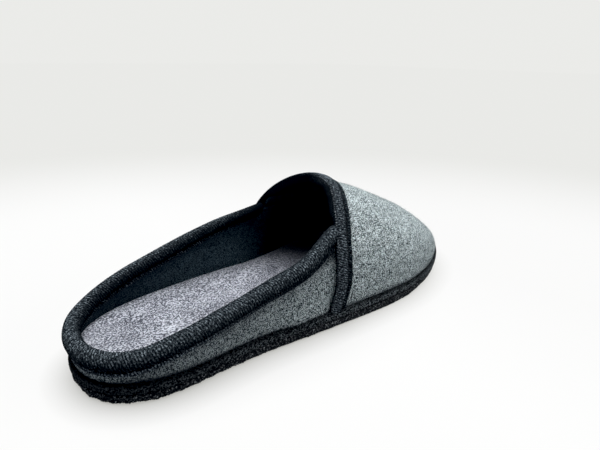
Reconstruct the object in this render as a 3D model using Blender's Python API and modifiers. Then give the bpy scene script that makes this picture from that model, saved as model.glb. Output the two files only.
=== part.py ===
"""Felt house slipper for the right foot, open over the instep, with a low back.

Six sewn pieces: outsole, midsole, insole, upper (a vamp lapped over a quarter),
collar binding (a tape rolled over the quarter's top edge) and vamp binding (a tape
folded round the vamp's back edge).

Sizes are in millimetres and become metres where a mesh is made. Stations run along
X from behind the heel (0) to the toe's tip (LENGTH). The frame's origin lies on the
floor under the middle of the slipper, with +X towards the toe, +Y towards the foot's
inner side and +Z up.
"""

import math

import bmesh
import bpy
from mathutils import Vector

MM = 0.001

# Driving sizes
LENGTH = 280.0
MIDDLE = 139.5
GAP = 0.35
FELT = 3.2

# Plan of the sole: rounded ends, smooth sides between them
HEEL_END = 0.5
HEEL_CAP = 48.0
HEEL_POWER = 2.25
TOE_CAP = 196.0
TOE_POWER = 2.05
TOE_SHIFT = 6.0
TOE_SHIFT_START = 140.0
# Columns: station, half-width on the outer (right) side, half-width on the inner side
PLAN = (
    (0.0, 38.2, 36.8),
    (48.0, 38.0, 37.2),
    (84.0, 38.8, 38.6),
    (124.0, 43.8, 39.2),
    (190.0, 50.2, 48.2),
    (224.0, 50.2, 48.6),
    (280.0, 50.2, 48.6),
)

# Sole layers
OUTSOLE_HEIGHT = 5.1
MIDSOLE_HEIGHT = 5.3
TOE_SPRING = 3.2
TOE_SPRING_START = 196.0
# Columns: share of the layer's height, how far the side lies inside the plan
OUTSOLE_SIDE = ((0.0, 2.4), (0.22, 1.1), (0.6, 0.6), (1.0, 0.8))
MIDSOLE_SIDE = ((0.0, 0.8), (0.25, 0.1), (0.7, 0.0), (1.0, 0.9))
SOLE_TOP = OUTSOLE_HEIGHT + GAP + MIDSOLE_HEIGHT

# Insole: raised under the arch, drawn in under the toe
INSOLE_HEIGHT = 6.2
INSOLE_FOOT = SOLE_TOP + GAP
INSOLE_TOP = INSOLE_FOOT + INSOLE_HEIGHT
INSOLE_CLEARANCE = 0.7
INSOLE_TOE_INSET = 7.0
ARCH_RISE = 3.0
ARCH_OUTER_SHARE = 0.25
ARCH_START = 34.0
ARCH_END = 200.0
ARCH_RAMP = 50.0
# Columns: share of the insole's height, how far the side lies inside its edge
INSOLE_SIDE = ((0.0, 0.0), (0.75, 0.0), (1.0, 0.6))

# Upper: where its wall stands on the sole
WALL_INSET = 1.6
WALL_FOOT = SOLE_TOP + 0.6

# Vamp: a dome from the sole's edge to the crest line, its back edge dipping forward at the throat
VAMP_SEAM = 134.0
VAMP_POWER = 2.2
VAMP_SWELL = 3.2
TOE_SWELL = 0.0
TOE_SWELL_START = 180.0
CREST_END = 224.0
THROAT_DIP = 22.0
THROAT_DIP_POWER = 4.0
# Columns: station, height of the crest line above the floor
CREST = (
    (120.0, 84.0),
    (158.0, 77.5),
    (190.0, 67.0),
    (224.0, 52.0),
    (252.0, 39.0),
    (280.0, 29.0),
)

# Quarter: a low band round the heel, tucked inside the vamp at the seam
LAP_LENGTH = 12.0
LAP_DEPTH = FELT - 0.5
TUCK_LENGTH = 34.0
# Columns: station, height of the felt's top edge on the outer side and on the inner side,
# lean outwards on the outer side and on the inner side
TOPLINE = (
    (0.0, 23.2, 23.2, 0.0, 0.0),
    (20.0, 24.4, 27.5, 0.9, 0.6),
    (51.0, 31.4, 36.6, 3.0, 0.2),
    (96.0, 44.5, 47.5, 3.4, 0.4),
    (128.0, 51.8, 54.5, 1.6, 0.0),
    (170.0, 58.0, 60.5, 1.6, 0.0),
)

# Collar binding: a padded roll with a flat flange down each side of the felt
ROLL_HALF_WIDTH = 4.7
ROLL_RISE = 3.6
ROLL_WAIST = -3.6
ROLL_UNDERCUT = 1.2
SLOT_HALF_WIDTH = FELT / 2 + 0.95
SLOT_HEADROOM = 0.9
FLANGE_HALF_WIDTH = SLOT_HALF_WIDTH + 1.0
FLANGE_DROP = -7.6
FLANGE_LEAST = 0.4

# Vamp binding: a raised band with a thin selvedge, folded back over the vamp's edge
TAPE_WIDTH = 8.2
TAPE_THICKNESS = 2.2
SELVEDGE_WIDTH = 2.0
SELVEDGE_THICKNESS = 1.1
SELVEDGE_STEP = 0.8
FOLD_START = 1.0
FOLD_SHOULDER = 1.6
FOLD_SHOULDER_DROP = 0.5
FOLD_ROUND = 0.7
LIP = 2.6
LIP_DEPTH = 1.5
INNER_THIN = 0.2
INNER_THICK = 1.2
INNER_START = 0.6
INNER_WIDTH = 8.0
INNER_FROM_HEIGHT = 63.0
INNER_FULL_HEIGHT = 71.0

# Mesh fineness
HEEL_STEPS = 9
SIDE_STEPS = 20
TOE_STEPS = 11
VAMP_ROWS = 16
QUARTER_ROWS = 6
ROLL_STEPS = 8
SHARE_STEP = 0.004
SHARE_APART = 0.01
FACE_STEP = 0.5
TURN_STEP = 0.01
MERGE = 0.001
CREASE = math.radians(35.0)

RIGHT, LEFT = -1, 1
HEEL_SHARE = 0.25
TOE_SHARE = 0.70
QUARTER_TURN = math.pi / 2


def ease(share):
    """Smooth step from 0 to 1."""
    share = min(1.0, max(0.0, share))
    return share * share * (3.0 - 2.0 * share)


def along(table, station, column):
    """Value of a table's column at a station, on a smooth curve through its rows."""
    rows = [(row[0], row[column]) for row in table]
    if station <= rows[0][0]:
        return rows[0][1]
    if station >= rows[-1][0]:
        return rows[-1][1]
    last = len(rows) - 1
    i = next(n for n in range(last) if station <= rows[n + 1][0])

    def slope(n):
        low = rows[max(0, n - 1)]
        high = rows[min(last, n + 1)]
        return (high[1] - low[1]) / (high[0] - low[0])

    width = rows[i + 1][0] - rows[i][0]
    t = (station - rows[i][0]) / width
    return (
        (2 * t**3 - 3 * t**2 + 1) * rows[i][1]
        + (t**3 - 2 * t**2 + t) * width * slope(i)
        + (3 * t**2 - 2 * t**3) * rows[i + 1][1]
        + (t**3 - t**2) * width * slope(i + 1)
    )


def plan_point(side, share):
    """Point of the sole's plan: share 0 is the heel's middle and 1 the toe's tip."""
    full = 1.0
    if share < HEEL_SHARE:
        turn = share / HEEL_SHARE * QUARTER_TURN
        x = HEEL_CAP - (HEEL_CAP - HEEL_END) * math.cos(turn) ** (2 / HEEL_POWER)
        full = math.sin(turn) ** (2 / HEEL_POWER)
    elif share <= TOE_SHARE:
        x = HEEL_CAP + (share - HEEL_SHARE) / (TOE_SHARE - HEEL_SHARE) * (TOE_CAP - HEEL_CAP)
    else:
        turn = (1.0 - share) / (1.0 - TOE_SHARE) * QUARTER_TURN
        x = TOE_CAP + (LENGTH - TOE_CAP) * math.cos(turn) ** (2 / TOE_POWER)
        full = math.sin(turn) ** (2 / TOE_POWER)
    half = along(PLAN, x, 1 if side == RIGHT else 2)
    bend = max(0.0, (x - TOE_SHIFT_START) / (LENGTH - TOE_SHIFT_START))
    return Vector((x, side * half * full + TOE_SHIFT * bend**2))


def share_at(x):
    """Share of the plan that lies at a station ahead of the rounded heel."""
    if x <= TOE_CAP:
        return HEEL_SHARE + (x - HEEL_CAP) / (TOE_CAP - HEEL_CAP) * (TOE_SHARE - HEEL_SHARE)
    reach = min(1.0, (x - TOE_CAP) / (LENGTH - TOE_CAP))
    return 1.0 - (1.0 - TOE_SHARE) * math.acos(reach ** (TOE_POWER / 2)) / QUARTER_TURN


def plan_outward(side, share):
    """Unit vector pointing out of the plan, found across the two ends too."""
    low, high = share - SHARE_STEP, share + SHARE_STEP
    before = plan_point(side, low) if low > 0 else plan_point(-side, SHARE_STEP)
    after = plan_point(side, high) if high < 1 else plan_point(-side, 1 - SHARE_STEP)
    run = (after - before).normalized()
    return Vector((-run.y, run.x)) * side


def plan_edge(side, share, inset):
    """Point of the plan, moved inwards."""
    return plan_point(side, share) - plan_outward(side, share) * inset


def side_shares():
    """Shares from the heel's middle to the toe's tip, closer together round the ends."""
    heel = [HEEL_SHARE * i / HEEL_STEPS for i in range(HEEL_STEPS)]
    side = [HEEL_SHARE + (TOE_SHARE - HEEL_SHARE) * i / SIDE_STEPS for i in range(SIDE_STEPS)]
    toe = [TOE_SHARE + (1.0 - TOE_SHARE) * i / TOE_STEPS for i in range(TOE_STEPS + 1)]
    return heel + side + toe


def plan_loop():
    """Stations round the whole plan: out along the right side, back along the left."""
    shares = side_shares()
    return [(RIGHT, share) for share in shares] + [(LEFT, share) for share in shares[-2:0:-1]]


def heel_path(front):
    """Stations from the right side, round the heel, to the left side, ending at a station each way."""
    end = share_at(front)
    shares = [share for share in side_shares() if share < end - SHARE_APART] + [end]
    return [(RIGHT, share) for share in shares[::-1]] + [(LEFT, share) for share in shares[1:]]


def vamp_turns():
    """Turns from the sole's edge (0) to the crest line (a right angle)."""
    return [QUARTER_TURN * i / VAMP_ROWS for i in range(VAMP_ROWS + 1)]


def spring(x):
    """How far the sole's underside has lifted off the floor towards the toe."""
    return TOE_SPRING * max(0.0, (x - TOE_SPRING_START) / (LENGTH - TOE_SPRING_START)) ** 2


def arch(side, x):
    """How far the insole is raised under the foot's arch."""
    rise = ARCH_RISE if side == LEFT else ARCH_RISE * ARCH_OUTER_SHARE
    return rise * ease((x - ARCH_START) / ARCH_RAMP) * ease((ARCH_END - x) / ARCH_RAMP)


def flat(side, x):
    """A sole layer of even height."""
    return 0.0


def topline(side, x):
    """Height of the quarter's top edge at a station."""
    return along(TOPLINE, x, 1 if side == RIGHT else 2)


def tuck(x):
    """How far the quarter has moved inside the vamp, from 0 to 1."""
    return ease((x - VAMP_SEAM + TUCK_LENGTH) / TUCK_LENGTH)


def swell(x, rise):
    """How far the vamp's side stands outside its foot at a share of its height."""
    toe = ease((x - TOE_SWELL_START) / (LENGTH - TOE_SWELL_START))
    return (VAMP_SWELL + (TOE_SWELL - VAMP_SWELL) * toe) * math.sin(math.pi * rise)


def vamp_at(side, share, turn):
    """Point on the vamp's outer face, above a share of the plan."""
    foot = plan_edge(side, share, WALL_INSET)
    station = plan_point(side, share).x
    spine_share = share_at(min(station, CREST_END))
    spine = plan_point(RIGHT, spine_share).lerp(plan_point(LEFT, spine_share), 0.5)
    rise = math.sin(turn) ** (2 / VAMP_POWER)
    reach = 1.0 - max(0.0, math.cos(turn)) ** (2 / VAMP_POWER)
    place = foot.lerp(spine, reach) + (foot - spine).normalized() * swell(station, rise)
    fade = 1.0 - ease((station - VAMP_SEAM) / (CREST_END - VAMP_SEAM))
    place.x += THROAT_DIP * rise**THROAT_DIP_POWER * fade
    base = WALL_FOOT + spring(station)
    return Vector((place.x, place.y, base + (along(CREST, place.x, 1) - base) * rise))


def vamp_ahead(side, ahead, turn):
    """Point on the vamp's outer face, ahead of its back edge."""
    return vamp_at(side, share_at(VAMP_SEAM + ahead), turn)


def vamp_normal(side, ahead, turn):
    """Unit vector pointing out of the vamp's face."""
    low, high = max(0.0, turn - TURN_STEP), min(QUARTER_TURN, turn + TURN_STEP)
    across = vamp_ahead(side, ahead, high) - vamp_ahead(side, ahead, low)
    forward = vamp_ahead(side, ahead + FACE_STEP, turn) - vamp_ahead(side, ahead - FACE_STEP, turn)
    return across.cross(forward).normalized() * side


def quarter_point(side, share, height):
    """Point on the quarter's outer face at a height: its own wall, then the vamp's inner face."""
    plan = plan_point(side, share)
    lean = along(TOPLINE, plan.x, 3 if side == RIGHT else 4)
    own = lean * (height - WALL_FOOT) / (topline(side, plan.x) - WALL_FOOT)
    rise = (height - WALL_FOOT) / (along(CREST, plan.x, 1) - WALL_FOOT)
    rise = max(0.0, min(1.0, rise))
    half = (plan_point(RIGHT, share) - plan_point(LEFT, share)).length / 2
    reach = 1.0 - (1.0 - rise**VAMP_POWER) ** (1 / VAMP_POWER)
    under = swell(plan.x, rise) - half * reach - LAP_DEPTH
    out = own + (under - own) * tuck(plan.x) - WALL_INSET
    place = plan + plan_outward(side, share) * out
    return Vector((place.x, place.y, height))


def skin(shape, rows, closed=False):
    """Quads between rows of points of equal length."""
    grid = [[shape.verts.new(point) for point in row] for row in rows]
    count = len(grid[0])
    for low, high in zip(grid, grid[1:]):
        for i in range(count if closed else count - 1):
            j = (i + 1) % count
            shape.faces.new((low[i], low[j], high[j], high[i]))
    return grid


def tube(shape, rows):
    """A closed bar with one section per row, and a flat end at each end of the path."""
    grid = skin(shape, rows, closed=True)
    shape.faces.new(grid[0])
    shape.faces.new(grid[-1])
    bmesh.ops.recalc_face_normals(shape, faces=shape.faces)


def cap_plan(shape, loop, upwards):
    """Closes a plan loop with strips that run across the foot."""
    count = len(loop)
    for i in range(count // 2):
        corners = [loop[i], loop[i + 1], loop[-i - 1], loop[-i % count]]
        corners = list(dict.fromkeys(corners))
        shape.faces.new(corners if upwards else corners[::-1])


def layer(foot, height, side_table, edge, crown):
    """Maker of a sole layer: loops up its side, and strips across its two faces."""

    def make(shape):
        rows = []
        for share_up, inset in side_table:
            row = []
            for side, share in plan_loop():
                place = edge(side, share, inset)
                top = height + crown(side, place.x)
                row.append((place.x, place.y, foot + top * share_up + spring(place.x)))
            rows.append(row)
        grid = skin(shape, rows, closed=True)
        cap_plan(shape, grid[0], upwards=False)
        cap_plan(shape, grid[-1], upwards=True)

    return make


def insole_edge(side, share, inset):
    """Edge of the insole, just inside the walls, the lapped seam and the toe."""
    x = plan_point(side, share).x
    lap = LAP_DEPTH * tuck(x) * (1.0 - ease((x - VAMP_SEAM - LAP_LENGTH) / TUCK_LENGTH))
    toe = INSOLE_TOE_INSET * ease((x - TOE_CAP) / (LENGTH - TOE_CAP))
    return plan_edge(side, share, WALL_INSET + FELT + INSOLE_CLEARANCE + lap + toe + inset)


def vamp_sheet(shape):
    """The vamp's outer face: two halves that share the crest line and the toe's tip."""
    seam = share_at(VAMP_SEAM)
    shares = [seam] + [share for share in side_shares() if share > seam + SHARE_APART]
    for side in (RIGHT, LEFT):
        skin(shape, [[vamp_at(side, share, turn) for share in shares] for turn in vamp_turns()])
    bmesh.ops.remove_doubles(shape, verts=shape.verts, dist=MERGE)
    bmesh.ops.recalc_face_normals(shape, faces=shape.faces)


def quarter_sheet(shape):
    """The quarter's outer face, from the sole up to its top edge."""
    rows = []
    for i in range(QUARTER_ROWS + 1):
        row = []
        for side, share in heel_path(VAMP_SEAM + LAP_LENGTH):
            top = topline(side, plan_point(side, share).x)
            row.append(quarter_point(side, share, WALL_FOOT + (top - WALL_FOOT) * i / QUARTER_ROWS))
        rows.append(row[::-1])
    skin(shape, rows)


def collar_section(inner_drop):
    """Points across the collar tape: (out from the felt's middle, up from its top edge)."""
    height = ROLL_RISE - ROLL_WAIST
    under = ROLL_WAIST - ROLL_UNDERCUT
    section = [(FLANGE_HALF_WIDTH, FLANGE_DROP), (FLANGE_HALF_WIDTH, under)]
    for i in range(ROLL_STEPS + 1):
        turn = math.pi * i / ROLL_STEPS
        section.append((ROLL_HALF_WIDTH * math.cos(turn), ROLL_WAIST + height * math.sin(turn)))
    section.append((-FLANGE_HALF_WIDTH, max(inner_drop + FLANGE_LEAST, under)))
    section.append((-FLANGE_HALF_WIDTH, inner_drop))
    section.append((-SLOT_HALF_WIDTH, inner_drop))
    section.append((-SLOT_HALF_WIDTH, SLOT_HEADROOM))
    section.append((SLOT_HALF_WIDTH, SLOT_HEADROOM))
    section.append((SLOT_HALF_WIDTH, FLANGE_DROP))
    return section


def collar_point(side, share, out, up):
    """Point of the collar tape, whose sections slant near the seam to lie along the vamp's edge."""
    x = plan_point(side, share).x
    rise = (topline(side, x) + up - WALL_FOOT) / (along(CREST, VAMP_SEAM, 1) - WALL_FOOT)
    slant = THROAT_DIP * max(0.0, rise) ** THROAT_DIP_POWER * tuck(x)
    if slant > 0:
        share = share_at(x + slant)
    top = topline(side, plan_point(side, share).x)
    edge = quarter_point(side, share, top + min(up, 0.0))
    place = edge.xy + plan_outward(side, share) * (out - FELT / 2)
    return Vector((place.x, place.y, top + up))


def collar_tape(shape):
    """The collar tape, swept along the quarter's top edge from seam to seam, clear of the insole."""
    rows = []
    for side, share in heel_path(VAMP_SEAM - LIP - 2 * GAP):
        above_insole = INSOLE_TOP + GAP - topline(side, plan_point(side, share).x)
        section = collar_section(max(FLANGE_DROP, above_insole))
        rows.append([collar_point(side, share, out, up) for out, up in section])
    tube(shape, rows)


def tape_section(wrap):
    """Points across the vamp tape: (ahead of the edge, off the face).

    At wrap 0 the fold ends behind the vamp's edge, where the quarter lies inside it. At
    wrap 1 it runs on over the vamp's inner face.
    """
    depth, length = min(1.0, 2 * wrap), max(0.0, 2 * wrap - 1)
    inner = -LIP_DEPTH - depth * (FELT + 2 * GAP - LIP_DEPTH)
    inner_low = inner - INNER_THIN - depth * (INNER_THICK - INNER_THIN)
    inner_end = length * INNER_WIDTH - INNER_START
    selvedge = GAP + SELVEDGE_THICKNESS
    crown = GAP + TAPE_THICKNESS
    return [
        (TAPE_WIDTH, GAP),
        (TAPE_WIDTH, selvedge),
        (TAPE_WIDTH - SELVEDGE_WIDTH, selvedge),
        (TAPE_WIDTH - SELVEDGE_WIDTH - SELVEDGE_STEP, crown),
        (FOLD_START, crown),
        (-FOLD_SHOULDER, crown - FOLD_SHOULDER_DROP),
        (-LIP, FOLD_ROUND),
        (-LIP, inner + FOLD_ROUND),
        (-FOLD_SHOULDER, inner_low),
        (inner_end, inner_low),
        (inner_end, inner),
        (-GAP, inner),
        (-GAP, GAP),
    ]


def tape_row(side, turn):
    """One section of the vamp tape: on the vamp's own face ahead of the edge, straight behind it."""
    edge = vamp_ahead(side, 0.0, turn)
    ahead_way = (vamp_ahead(side, FACE_STEP, turn) - edge).normalized()
    wrap = (edge.z - INNER_FROM_HEIGHT) / (INNER_FULL_HEIGHT - INNER_FROM_HEIGHT)
    row = []
    for ahead, lift in tape_section(min(1.0, max(0.0, wrap))):
        on_face = max(0.0, ahead)
        place = vamp_ahead(side, on_face, turn) + ahead_way * min(0.0, ahead)
        row.append(place + vamp_normal(side, on_face, turn) * lift)
    return row


def vamp_tape(shape):
    """The vamp tape, swept over the vamp's back edge from sole to sole."""
    turns = vamp_turns()
    path = [(RIGHT, turn) for turn in turns] + [(LEFT, turn) for turn in turns[-2::-1]]
    tube(shape, [tape_row(side, turn) for side, turn in path])


def cloth(name, colour, roughness):
    """A plain matt material."""
    material = bpy.data.materials.new(name)
    material.use_nodes = True
    shader = material.node_tree.nodes["Principled BSDF"]
    shader.inputs["Base Color"].default_value = (*colour, 1.0)
    shader.inputs["Roughness"].default_value = roughness
    shader.inputs["Metallic"].default_value = 0.0
    return material


def piece(name, make, material, collection):
    """A named object in a collection, its millimetre geometry moved to the frame."""
    shape = bmesh.new()
    make(shape)
    for vertex in shape.verts:
        vertex.co = (vertex.co - Vector((MIDDLE, 0.0, 0.0))) * MM
    mesh = bpy.data.meshes.new(name)
    shape.to_mesh(mesh)
    shape.free()
    mesh.shade_smooth()
    mesh.set_sharp_from_angle(angle=CREASE)
    mesh.materials.append(material)
    obj = bpy.data.objects.new(name, mesh)
    collection.objects.link(obj)
    return obj


def thicken(obj):
    """Gives a face the felt's thickness, inwards."""
    wall = obj.modifiers.new("felt", "SOLIDIFY")
    wall.thickness = FELT * MM
    wall.offset = -1.0
    wall.use_even_offset = True


def main():
    """Builds the slipper's pieces."""
    for obj in list(bpy.data.objects):
        bpy.data.objects.remove(obj)
    slipper = bpy.data.collections.new("felt_slipper")
    tools = bpy.data.collections.new("tools")
    for collection in (slipper, tools):
        bpy.context.scene.collection.children.link(collection)

    grey_felt = cloth("grey_felt", (0.165, 0.185, 0.19), 0.95)
    pale_felt = cloth("pale_felt", (0.36, 0.36, 0.40), 0.95)
    black_felt = cloth("black_felt", (0.012, 0.013, 0.015), 0.95)
    black_sole = cloth("black_sole", (0.010, 0.010, 0.011), 0.85)
    knit_tape = cloth("knit_tape", (0.035, 0.038, 0.04), 0.95)

    outsole = layer(0.0, OUTSOLE_HEIGHT, OUTSOLE_SIDE, plan_edge, flat)
    midsole = layer(OUTSOLE_HEIGHT + GAP, MIDSOLE_HEIGHT, MIDSOLE_SIDE, plan_edge, flat)
    insole = layer(INSOLE_FOOT, INSOLE_HEIGHT, INSOLE_SIDE, insole_edge, arch)
    piece("outsole", outsole, black_sole, slipper)
    piece("midsole", midsole, black_felt, slipper)
    piece("insole", insole, pale_felt, slipper)

    quarter = piece("quarter_form", quarter_sheet, grey_felt, tools)
    quarter.hide_render = True
    quarter.display_type = "WIRE"
    thicken(quarter)
    upper = piece("upper", vamp_sheet, grey_felt, slipper)
    thicken(upper)
    lap = upper.modifiers.new("lap_seam", "BOOLEAN")
    lap.operation = "UNION"
    lap.object = quarter

    piece("collar_binding", collar_tape, knit_tape, slipper)
    piece("vamp_binding", vamp_tape, knit_tape, slipper)


main()
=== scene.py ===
"""Felt house slipper for the right foot: its finished surfaces, seams and studio.

Every piece is cut on one form, the last. Sizes are in millimetres and become metres where a
mesh is made. Stations run along X from behind the heel (0) to the toe's tip. A signed share is
a share of the sole's plan that is below zero on the outer side.
"""

import logging
import math
from contextlib import contextmanager
from dataclasses import dataclass
from enum import Enum
from typing import Callable, Iterator, Union

import bmesh
import bpy
import numpy as np
from mathutils import Matrix, Vector, noise


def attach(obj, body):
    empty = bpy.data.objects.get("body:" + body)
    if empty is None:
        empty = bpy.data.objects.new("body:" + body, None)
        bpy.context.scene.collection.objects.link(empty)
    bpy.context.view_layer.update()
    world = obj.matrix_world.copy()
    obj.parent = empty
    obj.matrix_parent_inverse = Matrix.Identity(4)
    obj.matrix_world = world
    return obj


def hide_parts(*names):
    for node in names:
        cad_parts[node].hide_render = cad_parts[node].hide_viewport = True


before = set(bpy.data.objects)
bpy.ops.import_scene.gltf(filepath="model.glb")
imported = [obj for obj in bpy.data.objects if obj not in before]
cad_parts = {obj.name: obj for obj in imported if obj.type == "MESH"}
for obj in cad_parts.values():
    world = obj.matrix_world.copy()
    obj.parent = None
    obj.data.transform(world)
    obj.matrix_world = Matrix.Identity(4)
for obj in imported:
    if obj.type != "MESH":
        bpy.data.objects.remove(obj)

LOG = logging.getLogger("slipper")
BODY = "root"
MM = 0.001
TURN = 2 * math.pi
QUARTER_TURN = math.pi / 2
TINY = 1e-9
FINE_STEPS = 3000
MERGE_DISTANCE = 1e-6
EMPTY_EDGE = 1e-7
SHADER_TREE, GEOMETRY_TREE = "ShaderNodeTree", "GeometryNodeTree"

Points = np.ndarray
Table = tuple[tuple[float, ...], ...]
Place = tuple[float, float, float]
Colour = tuple[float, float, float]
Mesh, Object, Material = bpy.types.Mesh, bpy.types.Object, bpy.types.Material
NodeTree, Socket, Sockets = bpy.types.NodeTree, bpy.types.NodeSocket, bpy.types.NodeOutputs
Value = Union[float, int, bool, str, tuple, Socket, bpy.types.ID]


class Side(Enum):
    """Side of the foot, as the sign of Y."""

    OUTER = -1.0
    INNER = 1.0


class Way(Enum):
    """How a crease is pressed: into the felt or out of it."""

    TROUGH = -1.0
    RIDGE = 1.0


class Mark(Enum):
    """Values kept on a piece's points, for its material and its node tree."""

    ALONG = "along"
    ACROSS = "across"
    KNIT = "knit"
    # Painted shade and light, as a share of full light
    SHADE = "shade"
    INSIDE = "inside"


class Kind(Enum):
    """Kinds of socket on a node group."""

    NUMBER = "NodeSocketFloat"
    WHOLE = "NodeSocketInt"
    VECTOR = "NodeSocketVector"
    SHAPE = "NodeSocketGeometry"
    MATERIAL = "NodeSocketMaterial"


def ease(share: Points) -> Points:
    """Smooth step from 0 to 1."""
    share = np.clip(share, 0.0, 1.0)
    return share * share * (3.0 - 2.0 * share)


def between(low: Points, high: Points, share: Points) -> Points:
    """A value on the way from low, at share 0, to high, at share 1."""
    return low + (high - low) * share


def unit(vectors: Points) -> Points:
    """Vectors of length 1 in the same directions."""
    return vectors / np.maximum(np.linalg.norm(vectors, axis=-1, keepdims=True), TINY)


def together(*values: Points) -> list[Points]:
    """The values as arrays of one shape."""
    return np.broadcast_arrays(*(np.asarray(value, float) for value in values))


def split(signed: Points) -> tuple[Points, Points]:
    """Side and share of a signed share."""
    return np.where(signed < 0, Side.OUTER.value, Side.INNER.value), np.abs(signed)


def straight(table: Table, place: Points, column: int = 1) -> Points:
    """Reads a table's column on straight lines between its rows."""
    rows = np.asarray(table)
    return np.interp(place, rows[:, 0], rows[:, column])


def along(table: Table, station: Points, column: int) -> Points:
    """Reads a table's column on a smooth curve through its rows.

    Args:
        table: rows that start with a station.
        station: where to read, in millimetres.
        column: which column to read.

    Returns:
        The column's value at each station.
    """
    rows = np.asarray(table, float)
    knots, values = rows[:, 0], rows[:, column]
    order = np.arange(len(knots))
    low, high = np.maximum(order - 1, 0), np.minimum(order + 1, len(knots) - 1)
    slopes = (values[high] - values[low]) / (knots[high] - knots[low])
    station = np.clip(station, knots[0], knots[-1])
    i = np.clip(np.searchsorted(knots, station, side="left") - 1, 0, len(knots) - 2)
    width = knots[i + 1] - knots[i]
    t = (station - knots[i]) / width
    return (
        (2 * t**3 - 3 * t**2 + 1) * values[i]
        + (t**3 - 2 * t**2 + t) * width * slopes[i]
        + (3 * t**2 - 2 * t**3) * values[i + 1]
        + (t**3 - t**2) * width * slopes[i + 1]
    )


def rounded(corners: Points, steps: int) -> Points:
    """Rounds a section's line.

    Args:
        corners: points of the line, one row each.
        steps: pieces between two of them.

    Returns:
        Points on a smooth curve through the corners.
    """
    corners = np.asarray(corners, float)
    ends = np.vstack((2 * corners[0] - corners[1], corners, 2 * corners[-1] - corners[-2]))
    t = np.linspace(0.0, 1.0, steps, endpoint=False)[:, None]
    runs = []
    for a, b, c, d in zip(ends, ends[1:], ends[2:], ends[3:]):
        bend = (2 * a - 5 * b + 4 * c - d) * t**2 + (3 * b - a - 3 * c + d) * t**3
        runs.append(0.5 * (2 * b + (c - a) * t + bend))
    return np.vstack(runs + [corners[-1:]])


def lengths(points: Points) -> Points:
    """Distance along a line of points, from its start to each of them."""
    steps = np.linalg.norm(np.diff(points, axis=0), axis=1)
    return np.concatenate(([0.0], np.cumsum(steps)))


def even_spread(path: Callable[[Points], Points], low: float, high: float, step: float) -> Points:
    """Spaces parameters evenly along a path.

    Args:
        path: gives points for parameters.
        low: first parameter.
        high: last parameter.
        step: wanted distance between neighbours, in millimetres.

    Returns:
        The parameters.
    """
    fine = np.linspace(low, high, FINE_STEPS)
    run = lengths(path(fine))
    count = int(round(run[-1] / step)) + 1
    return np.interp(np.linspace(0.0, run[-1], count), run, fine)


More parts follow.
